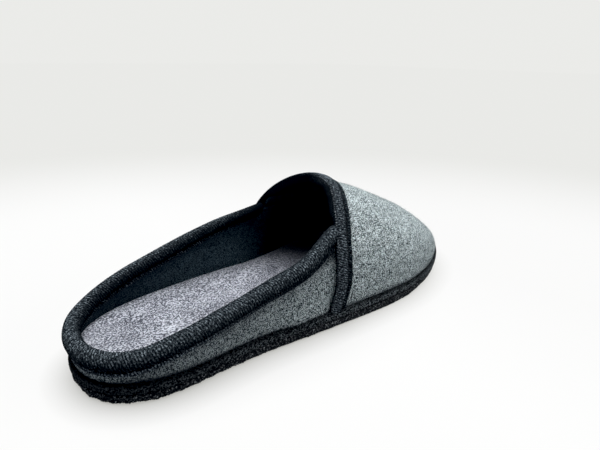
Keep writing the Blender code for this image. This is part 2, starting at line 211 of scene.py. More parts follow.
@dataclass(frozen=True)
class Last:
    """The form that the slipper is made on, in millimetres."""

    length: float = 280.0
    middle: float = 139.5
    gap: float = 0.35
    felt: float = 3.2
    heel_end: float = 0.7
    heel_cap: float = 48.0
    heel_power: float = 2.25
    heel_share: float = 0.25
    toe_cap: float = 196.0
    toe_power: float = 2.05
    toe_share: float = 0.70
    toe_shift: float = 6.0
    toe_shift_start: float = 140.0
    toe_spring: float = 3.2
    wall_inset: float = 1.6
    wall_foot: float = 11.35
    vamp_seam: float = 134.0
    vamp_power: float = 2.2
    vamp_swell: float = 3.2
    toe_swell_start: float = 180.0
    crest_end: float = 224.0
    throat_dip: float = 22.0
    throat_dip_power: float = 4.0
    lap_length: float = 12.0
    lap_depth: float = 2.1
    tuck_length: float = 34.0
    share_step: float = 0.004
    face_step: float = 0.5
    turn_step: float = 0.01
    # Columns: station, half-width on the outer side, half-width on the inner side
    plan_rows: Table = (
        (0.0, 38.2, 36.8), (48.0, 38.0, 37.2), (84.0, 38.8, 38.6), (124.0, 43.8, 39.2),
        (190.0, 50.2, 48.2), (224.0, 50.2, 48.6), (280.0, 50.2, 48.6),
    )
    # Columns: station, height of the crest line
    crest_rows: Table = (
        (120.0, 84.0), (158.0, 77.5), (190.0, 67.0), (224.0, 52.0), (252.0, 39.0), (280.0, 29.0),
    )
    # Columns: station, height of the quarter's edge outside and inside, its lean outside and inside
    topline_rows: Table = (
        (0.0, 22.7, 23.2, 0.0, 0.0), (18.0, 24.1, 27.0, 0.8, 0.6), (36.0, 28.9, 32.2, 2.1, 0.4),
        (52.0, 32.2, 36.9, 3.0, 0.2), (70.0, 35.7, 41.4, 3.4, 0.3), (88.0, 40.3, 45.6, 3.5, 0.4),
        (106.0, 44.8, 49.5, 2.9, 0.3), (120.0, 49.2, 52.5, 2.0, 0.1), (132.0, 52.5, 55.2, 1.5, 0.0),
        (170.0, 58.0, 60.5, 1.6, 0.0),
    )

    def by_side(self, table: Table, side: Points, station: Points, column: int) -> Points:
        """Reads a table whose inner side's column follows the outer side's."""
        return np.where(side < 0, along(table, station, column), along(table, station, column + 1))

    def plan(self, side: Points, share: Points) -> Points:
        """Finds points of the sole's plan.

        Args:
            side: -1 outside and 1 inside.
            share: 0 at the heel's middle and 1 at the toe's tip.

        Returns:
            Station and Y of each point.
        """
        share = np.asarray(share, float)
        heel = np.clip(share / self.heel_share, 0.0, 1.0) * QUARTER_TURN
        toe = np.clip((1.0 - share) / (1.0 - self.toe_share), 0.0, 1.0) * QUARTER_TURN
        heel_round, toe_round = 2 / self.heel_power, 2 / self.toe_power
        way = (share - self.heel_share) / (self.toe_share - self.heel_share)
        heel_x = self.heel_cap - (self.heel_cap - self.heel_end) * np.cos(heel) ** heel_round
        side_x = self.heel_cap + way * (self.toe_cap - self.heel_cap)
        toe_x = self.toe_cap + (self.length - self.toe_cap) * np.cos(toe) ** toe_round
        in_heel, in_side = share < self.heel_share, share <= self.toe_share
        x = np.where(in_heel, heel_x, np.where(in_side, side_x, toe_x))
        ahead = np.where(in_side, 1.0, np.sin(toe) ** toe_round)
        full = np.where(in_heel, np.sin(heel) ** heel_round, ahead)
        bend = np.maximum(0.0, (x - self.toe_shift_start) / (self.length - self.toe_shift_start))
        y = side * self.by_side(self.plan_rows, side, x, 1) * full + self.toe_shift * bend**2
        return np.stack(np.broadcast_arrays(x, y), axis=-1)

    def both_sides(self, share: Points) -> tuple[Points, Points]:
        """Points of the plan on the outer and on the inner side."""
        return self.plan(Side.OUTER.value, share), self.plan(Side.INNER.value, share)

    def share_at(self, x: Points) -> Points:
        """Finds the share of the plan at a station ahead of the rounded heel.

        Args:
            x: stations.

        Returns:
            The shares.
        """
        way = (x - self.heel_cap) / (self.toe_cap - self.heel_cap)
        side = self.heel_share + way * (self.toe_share - self.heel_share)
        reach = np.clip((x - self.toe_cap) / (self.length - self.toe_cap), 0.0, 1.0)
        turn = np.arccos(reach ** (self.toe_power / 2)) / QUARTER_TURN
        return np.where(x <= self.toe_cap, side, 1.0 - (1.0 - self.toe_share) * turn)

    def outward(self, side: Points, share: Points) -> Points:
        """Finds unit vectors that point out of the plan.

        Args:
            side: -1 outside and 1 inside.
            share: share of the plan.

        Returns:
            The vectors, in X and Y.
        """
        side, share = together(side, share)
        low, high = share - self.share_step, share + self.share_step
        before = self.plan(np.where(low > 0, side, -side), np.where(low > 0, low, self.share_step))
        after = self.plan(np.where(high < 1, side, -side), np.where(high < 1, high, 1 - self.share_step))
        run = unit(after - before)
        return np.stack((-run[..., 1], run[..., 0]), axis=-1) * side[..., None]

    def edge(self, side: Points, share: Points, inset: Points) -> Points:
        """Points of the plan, moved inwards."""
        return self.plan(side, share) - self.outward(side, share) * np.asarray(inset, float)[..., None]

    def spring(self, x: Points) -> Points:
        """How far the sole has lifted off the floor towards the toe."""
        return self.toe_spring * np.maximum(0.0, (x - self.toe_cap) / (self.length - self.toe_cap)) ** 2

    def topline(self, side: Points, x: Points) -> Points:
        """Height of the quarter's top edge."""
        return self.by_side(self.topline_rows, side, x, 1)

    def tuck(self, x: Points) -> Points:
        """How far the quarter has moved inside the vamp, from 0 to 1."""
        return ease((x - self.vamp_seam + self.tuck_length) / self.tuck_length)

    def swell(self, x: Points, rise: Points) -> Points:
        """How far the vamp's side stands outside its foot."""
        toe = ease((x - self.toe_swell_start) / (self.length - self.toe_swell_start))
        return self.vamp_swell * (1.0 - toe) * np.sin(math.pi * rise)

    def vamp(self, side: Points, share: Points, turn: Points) -> Points:
        """Finds points of the vamp's outer face.

        Args:
            side: -1 outside and 1 inside.
            share: share of the plan that the point stands above.
            turn: 0 at the sole's edge and a right angle at the crest.

        Returns:
            Points in millimetres.
        """
        side, share, turn = together(side, share, turn)
        foot = self.edge(side, share, np.full(share.shape, self.wall_inset))
        station = self.plan(side, share)[..., 0]
        outer, inner = self.both_sides(self.share_at(np.minimum(station, self.crest_end)))
        spine = 0.5 * (outer + inner)
        power = 2 / self.vamp_power
        rise = np.sin(turn) ** power
        reach = 1.0 - np.maximum(0.0, np.cos(turn)) ** power
        swell = unit(foot - spine) * self.swell(station, rise)[..., None]
        place = between(foot, spine, reach[..., None]) + swell
        fade = 1.0 - ease((station - self.vamp_seam) / (self.crest_end - self.vamp_seam))
        x = place[..., 0] + self.throat_dip * rise**self.throat_dip_power * fade
        base = self.wall_foot + self.spring(station)
        z = between(base, along(self.crest_rows, x, 1), rise)
        return np.stack((x, place[..., 1], z), axis=-1)

    def vamp_ahead(self, side: Points, ahead: Points, turn: Points) -> Points:
        """Points of the vamp's outer face, ahead of its back edge."""
        return self.vamp(side, self.share_at(self.vamp_seam + ahead), turn)

    def vamp_normal(self, side: Points, ahead: Points, turn: Points) -> Points:
        """Finds unit vectors that point out of the vamp's face.

        Args:
            side: -1 outside and 1 inside.
            ahead: distance ahead of the back edge.
            turn: turn up the vamp.

        Returns:
            The vectors.
        """
        low = np.maximum(0.0, turn - self.turn_step)
        high = np.minimum(QUARTER_TURN, turn + self.turn_step)
        up = self.vamp_ahead(side, ahead, high) - self.vamp_ahead(side, ahead, low)
        forward = self.vamp_ahead(side, ahead + self.face_step, turn)
        forward = forward - self.vamp_ahead(side, ahead - self.face_step, turn)
        out = unit(np.cross(up, forward))
        return out * np.broadcast_to(side, out.shape[:-1])[..., None]

    def quarter(self, side: Points, share: Points, height: Points) -> Points:
        """Finds points of the quarter's outer face.

        Args:
            side: -1 outside and 1 inside.
            share: share of the plan that the point stands above.
            height: height above the floor.

        Returns:
            Points in millimetres.
        """
        side, share, height = together(side, share, height)
        plan = self.plan(side, share)
        x = plan[..., 0]
        up = height - self.wall_foot
        lean = self.by_side(self.topline_rows, side, x, 3)
        own = lean * up / (self.topline(side, x) - self.wall_foot)
        rise = np.clip(up / (along(self.crest_rows, x, 1) - self.wall_foot), 0.0, 1.0)
        outer, inner = self.both_sides(share)
        half = np.linalg.norm(outer - inner, axis=-1) / 2
        reach = 1.0 - (1.0 - rise**self.vamp_power) ** (1 / self.vamp_power)
        under = self.swell(x, rise) - half * reach - self.lap_depth
        out = between(own, under, self.tuck(x)) - self.wall_inset
        place = plan + self.outward(side, share) * out[..., None]
        return np.concatenate((place, height[..., None]), axis=-1)

    def collar(self, signed: Points, out: Points, up: Points) -> Points:
        """Finds points round the quarter's top edge, slanted near the seam along the vamp's edge.

        Args:
            signed: signed share of the plan.
            out: distance out from the felt's middle.
            up: distance up from its top edge.

        Returns:
            Points in millimetres.
        """
        signed, out, up = together(signed, out, up)
        side, share = split(signed)
        x = self.plan(side, share)[..., 0]
        full = along(self.crest_rows, self.vamp_seam, 1) - self.wall_foot
        rise = np.maximum(0.0, (self.topline(side, x) + up - self.wall_foot) / full)
        slant = self.throat_dip * rise**self.throat_dip_power * self.tuck(x)
        share = np.where(slant > 0, self.share_at(x + slant), share)
        top = self.topline(side, self.plan(side, share)[..., 0])
        edge = self.quarter(side, share, top + np.minimum(up, 0.0))
        place = edge[..., :2] + self.outward(side, share) * (out - self.felt / 2)[..., None]
        return np.concatenate((place, (top + up)[..., None]), axis=-1)

    def outer_shares(self, step: float) -> Points:
        """Evenly spaced shares along the plan's outer side, from heel to toe."""
        return even_spread(lambda share: self.plan(Side.OUTER.value, share), 0.0, 1.0, step)

    def loop(self, step: float) -> tuple[Points, Points]:
        """Spaces points evenly round the whole plan, from the heel along the outer side.

        Args:
            step: wanted distance between neighbours.

        Returns:
            Side and share of each point.
        """
        shares = self.outer_shares(step)
        side = np.concatenate((-np.ones(len(shares)), np.ones(len(shares) - 2)))
        return side, np.concatenate((shares, shares[-2:0:-1]))

    def round_heel(self, front: float, step: float) -> Points:
        """Spaces signed shares evenly round the heel, between a station outside and the same inside."""
        end = float(self.share_at(front))
        return even_spread(lambda signed: self.plan(*split(signed)), -end, end, step)


class Tree:
    """Short way to write a node tree: a node with its links and values in one call."""

    # Sockets of a Mix node for colours
    mix_share, mix_low, mix_high, mix_result = 0, 6, 7, 2

    def __init__(self, tree: NodeTree) -> None:
        """Keeps the tree that nodes go into."""
        self.tree = tree

    def add(
        self, kind: str, inputs: dict[Union[str, int], Value] | None = None, **settings: Value
    ) -> bpy.types.Node:
        """Adds a node.

        Args:
            kind: the node's type.
            inputs: a value or a socket for each named or numbered input.
            **settings: values of the node's own options.

        Returns:
            The node.
        """
        node = self.tree.nodes.new(kind)
        for name, value in settings.items():
            setattr(node, name, value)
        for name, value in (inputs or {}).items():
            self.give(node.inputs[name], value)
        return node

    def give(self, target: Socket, value: Value) -> None:
        """Gives an input its value, or links a socket to it."""
        if isinstance(value, Socket):
            self.tree.links.new(value, target)
        else:
            target.default_value = value

    def maths(self, operation: str, a: Value, b: Value = 0.0, clamp: bool = False) -> Socket:
        """Works on two values and keeps the result between 0 and 1 if asked."""
        return self.add("ShaderNodeMath", {0: a, 1: b}, operation=operation, use_clamp=clamp).outputs[0]

    def plus(self, a: Value, b: Value, clamp: bool = False) -> Socket:
        """Adds two values."""
        return self.maths("ADD", a, b, clamp)

    def times(self, a: Value, b: Value, clamp: bool = False) -> Socket:
        """Multiplies two values."""
        return self.maths("MULTIPLY", a, b, clamp)

    def scaled(self, value: Value, gain: float, base: float) -> Socket:
        """Multiplies a value by a gain and adds a base."""
        return self.plus(self.times(value, gain), base)

    def wave(self, turn: Value) -> Socket:
        """A wave between 0 and 1, highest at the start of each turn."""
        return self.scaled(self.maths("COSINE", turn), 0.5, 0.5)

    def noise(
        self, place: Socket, scale: Value, detail: float = 2.0, roughness: float = 0.5, twist: float = 0.0
    ) -> Socket:
        """Adds a noise pattern, with values about 0.5."""
        inputs = {"Vector": place, "Scale": scale, "Detail": detail, "Roughness": roughness}
        return self.add("ShaderNodeTexNoise", inputs | {"Distortion": twist}).outputs["Fac"]

    def spread(
        self, value: Value, low: float, high: float, start: float = 0.0, end: float = 1.0, way: str = "LINEAR"
    ) -> Socket:
        """Maps a range of values to another, without going past its ends."""
        inputs = {"Value": value, "From Min": low, "From Max": high, "To Min": start, "To Max": end}
        return self.add("ShaderNodeMapRange", inputs, interpolation_type=way).outputs["Result"]

    def mixed(self, share: Value, low: Value, high: Value, blend: str = "MIX", clamp: bool = True) -> Socket:
        """Mixes two colours, with their share kept between 0 and 1 if asked."""
        inputs = {self.mix_share: share, self.mix_low: low, self.mix_high: high}
        return self.add(
            "ShaderNodeMix", inputs, data_type="RGBA", blend_type=blend, clamp_factor=clamp
        ).outputs[self.mix_result]

    def vector(self, x: Value, y: Value, z: Value = 0.0) -> Socket:
        """Puts three values together as a vector."""
        return self.add("ShaderNodeCombineXYZ", {"X": x, "Y": y, "Z": z}).outputs["Vector"]

    def stretched(self, vector: Socket, factor: Value) -> Socket:
        """Multiplies a vector by a number."""
        node = self.add("ShaderNodeVectorMath", {0: vector, "Scale": factor}, operation="SCALE")
        return node.outputs["Vector"]

    def attribute(self, mark: Mark) -> Socket:
        """Reads a piece's own values in its material."""
        return self.add("ShaderNodeAttribute", attribute_name=mark.value).outputs["Fac"]


def rgba(colour: Colour) -> tuple[float, float, float, float]:
    """A colour with full cover."""
    return (*colour, 1.0)


def new_group(
    name: str, kind: str, inputs: dict[str, Union[float, int, Kind]], outputs: dict[str, Kind]
) -> tuple[Tree, Sockets]:
    """Starts a node group.

    Args:
        name: the group's name.
        kind: its type of tree.
        inputs: first value of each input, or its kind where it has none.
        outputs: kind of each output.

    Returns:
        The group's tree, and the sockets that carry its inputs.
    """
    tree = bpy.data.node_groups.new(name, kind)
    for label, value in inputs.items():
        given = value if isinstance(value, Kind) else Kind.WHOLE if isinstance(value, int) else Kind.NUMBER
        made = tree.interface.new_socket(label, in_out="INPUT", socket_type=given.value)
        if value is not given:
            made.default_value = value
    for label, put_out in outputs.items():
        tree.interface.new_socket(label, in_out="OUTPUT", socket_type=put_out.value)
    group = Tree(tree)
    return group, group.add("NodeGroupInput").outputs


@dataclass(frozen=True)
class KnitLines:
    """Draws a knit's ribs and loops, the same way for its colour and for its shape."""

    wander: float = 1.5
    wander_scale: float = 330.0
    hook: float = 0.3
    loop_share: float = 0.4

    def draw(
        self, tree: Tree, along_tape: Socket, across_tape: Socket, place: Socket, given: Sockets
    ) -> tuple[Socket, ...]:
        """Draws the ribs and loops at a point of a tape.

        Args:
            tree: the tree that the nodes go into.
            along_tape: distance along the tape.
            across_tape: distance across it.
            place: the point itself, which lets the ribs wander.
            given: the tree's inputs with pitch, loop and slant.

        Returns:
            Distance along the slanting ribs, then rib, loop and height between 0 and 1.
        """
        wander = tree.noise(place, self.wander_scale)
        lean = tree.times(across_tape, given["Slant"])
        run = tree.plus(tree.plus(along_tape, lean), tree.times(wander, self.wander))
        turn = tree.times(tree.maths("DIVIDE", run, given["Pitch"]), TURN)
        rib = tree.wave(turn)
        hook = tree.times(tree.maths("SINE", turn), self.hook)
        row = tree.plus(tree.maths("DIVIDE", across_tape, given["Loop"]), hook)
        loop = tree.wave(tree.times(row, TURN))
        return run, rib, loop, tree.times(rib, tree.scaled(loop, self.loop_share, 1.0 - self.loop_share))


class Patterns:
    """Shader groups that the finishes use, each built once."""

    # Pressed wool: the part of each noise that shows, and how much the flecks count beside the hairs
    fleck_range, hair_range, cloud_range = (0.43, 0.57), (0.42, 0.6), (0.3, 0.7)
    fleck_share, hair_share = 0.6, 0.4
    # Knit: how fine its strokes and specks are, the part that shows, and how much each counts
    stroke_along, stroke_across, speck_scale = 2.2, 0.6, 1080.0
    fibre_range, speck_range = (0.49, 0.64), (0.565, 0.635)
    fibre_share, speck_share, fibre_height = 0.55, 0.85, 0.25
    # Crumb: the part of each pattern that shows, and how fine and high the dust is
    grain_range, dust_range = (0.15, 0.75), (0.55, 0.68)
    dust_scale, dust_height = 1100.0, 0.3

    def __init__(self) -> None:
        """Builds the groups."""
        self.wool = self.wool_group()
        self.knit = self.knit_group()
        self.crumb = self.crumb_group()

    def wool_group(self) -> NodeTree:
        """Pressed wool: flecks of light and dark fibre, curly hairs and wide clouds.

        Returns:
            A group that puts out the nap, which serves as tone and as height, and the clouds.
        """
        inputs = {"Place": Kind.VECTOR, "Fleck Scale": 900.0, "Hair Scale": 420.0, "Cloud Scale": 60.0}
        outputs = {"Nap": Kind.NUMBER, "Cloud": Kind.NUMBER}
        group, given = new_group("pressed_wool", SHADER_TREE, inputs, outputs)
        fleck = group.noise(given["Place"], given["Fleck Scale"], roughness=0.6)
        hair = group.noise(given["Place"], given["Hair Scale"], detail=4.0, roughness=0.7, twist=2.6)
        cloud = group.noise(given["Place"], given["Cloud Scale"], detail=3.0, roughness=0.6)
        flecks = group.times(group.spread(fleck, *self.fleck_range), self.fleck_share)
        hairs = group.times(group.spread(hair, *self.hair_range), self.hair_share)
        results = {"Nap": group.plus(flecks, hairs), "Cloud": group.spread(cloud, *self.cloud_range)}
        group.add("NodeGroupOutput", results)
        return group.tree

    def knit_group(self) -> NodeTree:
        """Knitted tape: ribs across it, each a row of slanting loops, with loose fibre.

        Returns:
            A group that puts out rib, loop, fibre and height.
        """
        sizes = {"Pitch": 1.6, "Loop": 1.1, "Slant": -0.45}
        inputs = {"Along": 0.0, "Across": 0.0, "Place": Kind.VECTOR} | sizes
        outputs = dict.fromkeys(("Rib", "Loop", "Fibre", "Height"), Kind.NUMBER)
        group, given = new_group("knitted_ribs", SHADER_TREE, inputs, outputs)
        place = given["Place"]
        run, rib, loop, height = KnitLines().draw(group, given["Along"], given["Across"], place, given)
        across = group.times(given["Across"], self.stroke_across)
        strokes = group.vector(group.times(run, self.stroke_along), across)
        stroke = group.spread(group.noise(strokes, 1.0, roughness=0.7), *self.fibre_range)
        speck = group.spread(group.noise(place, self.speck_scale, roughness=0.7), *self.speck_range)
        specks = group.times(speck, self.speck_share)
        fibre = group.plus(group.times(stroke, self.fibre_share), specks, clamp=True)
        height = group.plus(height, group.times(fibre, self.fibre_height))
        group.add("NodeGroupOutput", {"Rib": rib, "Loop": loop, "Fibre": fibre, "Height": height})
        return group.tree

    def crumb_group(self) -> NodeTree:
        """Rubbery crumb: packed grains of uneven size with dusty tops.

        Returns:
            A group that puts out grain, dust and height.
        """
        outputs = dict.fromkeys(("Grain", "Dust", "Height"), Kind.NUMBER)
        inputs = {"Place": Kind.VECTOR, "Scale": 700.0}
        group, given = new_group("rubber_crumb", SHADER_TREE, inputs, outputs)
        cell_inputs = {"Vector": given["Place"], "Scale": given["Scale"]}
        cells = group.add("ShaderNodeTexVoronoi", cell_inputs, feature="SMOOTH_F1")
        grain = group.spread(cells.outputs["Distance"], *self.grain_range, start=1.0, end=0.0)
        dust = group.spread(group.noise(given["Place"], self.dust_scale, roughness=0.7), *self.dust_range)
        height = group.plus(grain, group.times(dust, self.dust_height))
        group.add("NodeGroupOutput", {"Grain": grain, "Dust": dust, "Height": height})
        return group.tree


class Surface:
    """A new material: its node tree, its shader and the place that patterns read."""

    def __init__(self, name: str, roughness: float, sheen: float, tint: Colour, gloss: float = 0.1) -> None:
        """Starts the material.

        Args:
            name: its name.
            roughness: how matt it is.
            sheen: how strongly loose fibres shine at its edges.
            tint: the sheen's colour.
            gloss: how strongly it mirrors.
        """
        self.material = bpy.data.materials.new(name)
        self.material.use_nodes = True
        self.tree = Tree(self.material.node_tree)
        self.shader = self.material.node_tree.nodes["Principled BSDF"]
        self.set("Roughness", roughness)
        self.set("Specular IOR Level", gloss)
        self.set("Sheen Weight", sheen)
        self.set("Sheen Tint", rgba(tint))
        self.place = self.tree.add("ShaderNodeTexCoord").outputs["Object"]

    def set(self, name: str, value: Value) -> None:
        """Sets or links one of the shader's inputs."""
        self.tree.give(self.shader.inputs[name], value)

    def pattern(self, group: NodeTree, sizes: dict[str, Value]) -> Sockets:
        """Places a shared pattern and returns its outputs."""
        return self.tree.add("ShaderNodeGroup", {"Place": self.place} | sizes, node_tree=group).outputs

    def dress(self, colour: Socket, height: Socket, strength: float, depth: float) -> Material:
        """Gives the shader its colour and its bumps.

        Args:
            colour: the surface's colour.
            height: its bumps, from 0 to 1.
            strength: how strongly they show.
            depth: how high they are, in metres.

        Returns:
            The finished material.
        """
        bump = self.tree.add("ShaderNodeBump", {"Height": height, "Strength": strength, "Distance": depth})
        self.set("Base Color", colour)
        self.set("Normal", bump.outputs["Normal"])
        return self.material


@dataclass(frozen=True)
class FeltFinish:
    """Finish of a pressed wool felt, or of a woollen thread."""

    name: str
    slot: str
    dark: Colour
    middle: Colour
    light: Colour
    middle_tone: float = 0.5
    contrast: float = 0.35
    fleck_scale: float = 900.0
    hair_scale: float = 420.0
    cloud_scale: float = 60.0
    cloud_share: float = 0.12
    bump: float = 0.8
    bump_depth: float = 0.00035
    roughness: float = 0.95
    sheen: float = 0.35
    # Painted shade and light from the piece's shade values, mixed towards the shadow colour, and a painted
    # cool shadow tint on the felt's inner side
    shaded: bool = False
    shadow: Colour = (0.008, 0.011, 0.018)
    inner_shadow_tint: Colour = (0.78, 1.0, 1.1)

    def material(self, patterns: Patterns) -> Material:
        """Builds the finish.

        Args:
            patterns: the shared shader groups.

        Returns:
            The material.
        """
        surface = Surface(self.name, self.roughness, self.sheen, self.light)
        tree = surface.tree
        sizes = {"Fleck Scale": self.fleck_scale, "Hair Scale": self.hair_scale}
        wool = surface.pattern(patterns.wool, sizes | {"Cloud Scale": self.cloud_scale})
        cloud = tree.times(tree.maths("SUBTRACT", wool["Cloud"], self.middle_tone), self.cloud_share * 2)
        ramp = tree.add("ShaderNodeValToRGB", {"Fac": tree.plus(wool["Nap"], cloud, clamp=True)})
        low, high = ramp.color_ramp.elements
        low.position = self.middle_tone - self.contrast
        low.color = rgba(self.dark)
        high.position = self.middle_tone + self.contrast
        high.color = rgba(self.light)
        ramp.color_ramp.elements.new(self.middle_tone).color = rgba(self.middle)
        colour = ramp.outputs["Color"]
        # Painted shade and light from the shade values, then the painted cool shadow tint on the inner side
        if self.shaded:
            colour = tree.mixed(tree.attribute(Mark.SHADE), rgba(self.shadow), colour, clamp=False)
            colour = tree.mixed(tree.attribute(Mark.INSIDE), colour, rgba(self.inner_shadow_tint), "MULTIPLY")
        return surface.dress(colour, wool["Nap"], self.bump, self.bump_depth)


@dataclass(frozen=True)
class KnitFinish:
    """Finish of a knitted tape."""

    name: str
    slot: str
    valley: Colour
    crest: Colour
    pitch: float = 1.4
    loop: float = 1.1
    slant: float = -0.35
    rib_share: float = 0.8
    loop_share: float = 0.15
    fibre_gain: float = 1.25
    fibre_base: float = 0.03
    bump: float = 0.7
    bump_depth: float = 0.0003
    roughness: float = 0.92
    sheen: float = 0.0
    gloss: float = 0.03

    def material(self, patterns: Patterns) -> Material:
        """Builds the finish.

        Args:
            patterns: the shared shader groups.

        Returns:
            The material.
        """
        surface = Surface(self.name, self.roughness, self.sheen, self.crest, self.gloss)
        tree = surface.tree
        marks = {"Along": tree.attribute(Mark.ALONG), "Across": tree.attribute(Mark.ACROSS)}
        knit = surface.pattern(patterns.knit, marks | self.sizes())
        rib = tree.scaled(knit["Rib"], self.rib_share, 1.0 - self.rib_share)
        loop = tree.scaled(knit["Loop"], self.loop_share, 1.0 - self.loop_share)
        fibre = tree.scaled(knit["Fibre"], self.fibre_gain, self.fibre_base)
        lit = tree.times(tree.times(rib, loop), fibre)
        # Painted shade and light from the tape's shade values
        lit = tree.times(lit, tree.attribute(Mark.SHADE), clamp=True)
        colour = tree.mixed(lit, rgba(self.valley), rgba(self.crest))
        return surface.dress(colour, knit["Height"], self.bump, self.bump_depth)

    def sizes(self) -> dict[str, float]:
        """Sizes of the knit, which its colour and its shape share."""
        return {"Pitch": self.pitch, "Loop": self.loop, "Slant": self.slant}


@dataclass(frozen=True)
class CrumbFinish:
    """Finish of the rubbery outsole."""

    name: str
    slot: str
    base: Colour
    dust: Colour
    scale: float = 700.0
    bump: float = 0.9
    bump_depth: float = 0.0005
    roughness: float = 0.85
    sheen: float = 0.1

    def material(self, patterns: Patterns) -> Material:
        """Builds the finish.

        Args:
            patterns: the shared shader groups.

        Returns:
            The material.
        """
        surface = Surface(self.name, self.roughness, self.sheen, self.dust)
        crumb = surface.pattern(patterns.crumb, {"Scale": self.scale})
        share = surface.tree.times(crumb["Grain"], crumb["Dust"], clamp=True)
        colour = surface.tree.mixed(share, rgba(self.base), rgba(self.dust))
        return surface.dress(colour, crumb["Height"], self.bump, self.bump_depth)


Finish = Union[FeltFinish, KnitFinish, CrumbFinish]

GREY_FELT = FeltFinish(
    "grey_wool", "grey_felt", (0.006, 0.012, 0.013), (0.16, 0.206, 0.213), (0.79, 0.88, 0.89), contrast=0.2,
    fleck_scale=1580.0, hair_scale=960.0, cloud_scale=230.0, cloud_share=0.1, sheen=0.08, shaded=True,
)
PALE_FELT = FeltFinish(
    "pale_wool", "pale_felt", (0.027, 0.03, 0.04), (0.214, 0.225, 0.266), (0.7, 0.72, 0.785),
    fleck_scale=1000.0, hair_scale=640.0, shaded=True,
)
BLACK_FELT = FeltFinish(
    "black_wool", "black_felt", (0.002, 0.0026, 0.0033), (0.002, 0.0026, 0.0033), (0.14, 0.16, 0.17),
    contrast=0.3, fleck_scale=1150.0, hair_scale=700.0, sheen=0.03, shaded=True,
    shadow=(0.002, 0.0026, 0.0033),
)
THREAD = FeltFinish(
    "charcoal_thread", "knit_tape", (0.002, 0.0025, 0.003), (0.007, 0.008, 0.01), (0.03, 0.033, 0.037),
    sheen=0.0,
)
PALE_THREAD = FeltFinish(
    "grey_thread", "knit_tape", (0.01, 0.012, 0.014), (0.1, 0.115, 0.125), (0.3, 0.33, 0.35), sheen=0.0,
)
KNIT_TAPE = KnitFinish("charcoal_knit", "knit_tape", (0.003, 0.0045, 0.0065), (0.275, 0.325, 0.362))
RUBBER = CrumbFinish("black_crumb", "black_sole", (0.005, 0.006, 0.0075), (0.44, 0.47, 0.48))


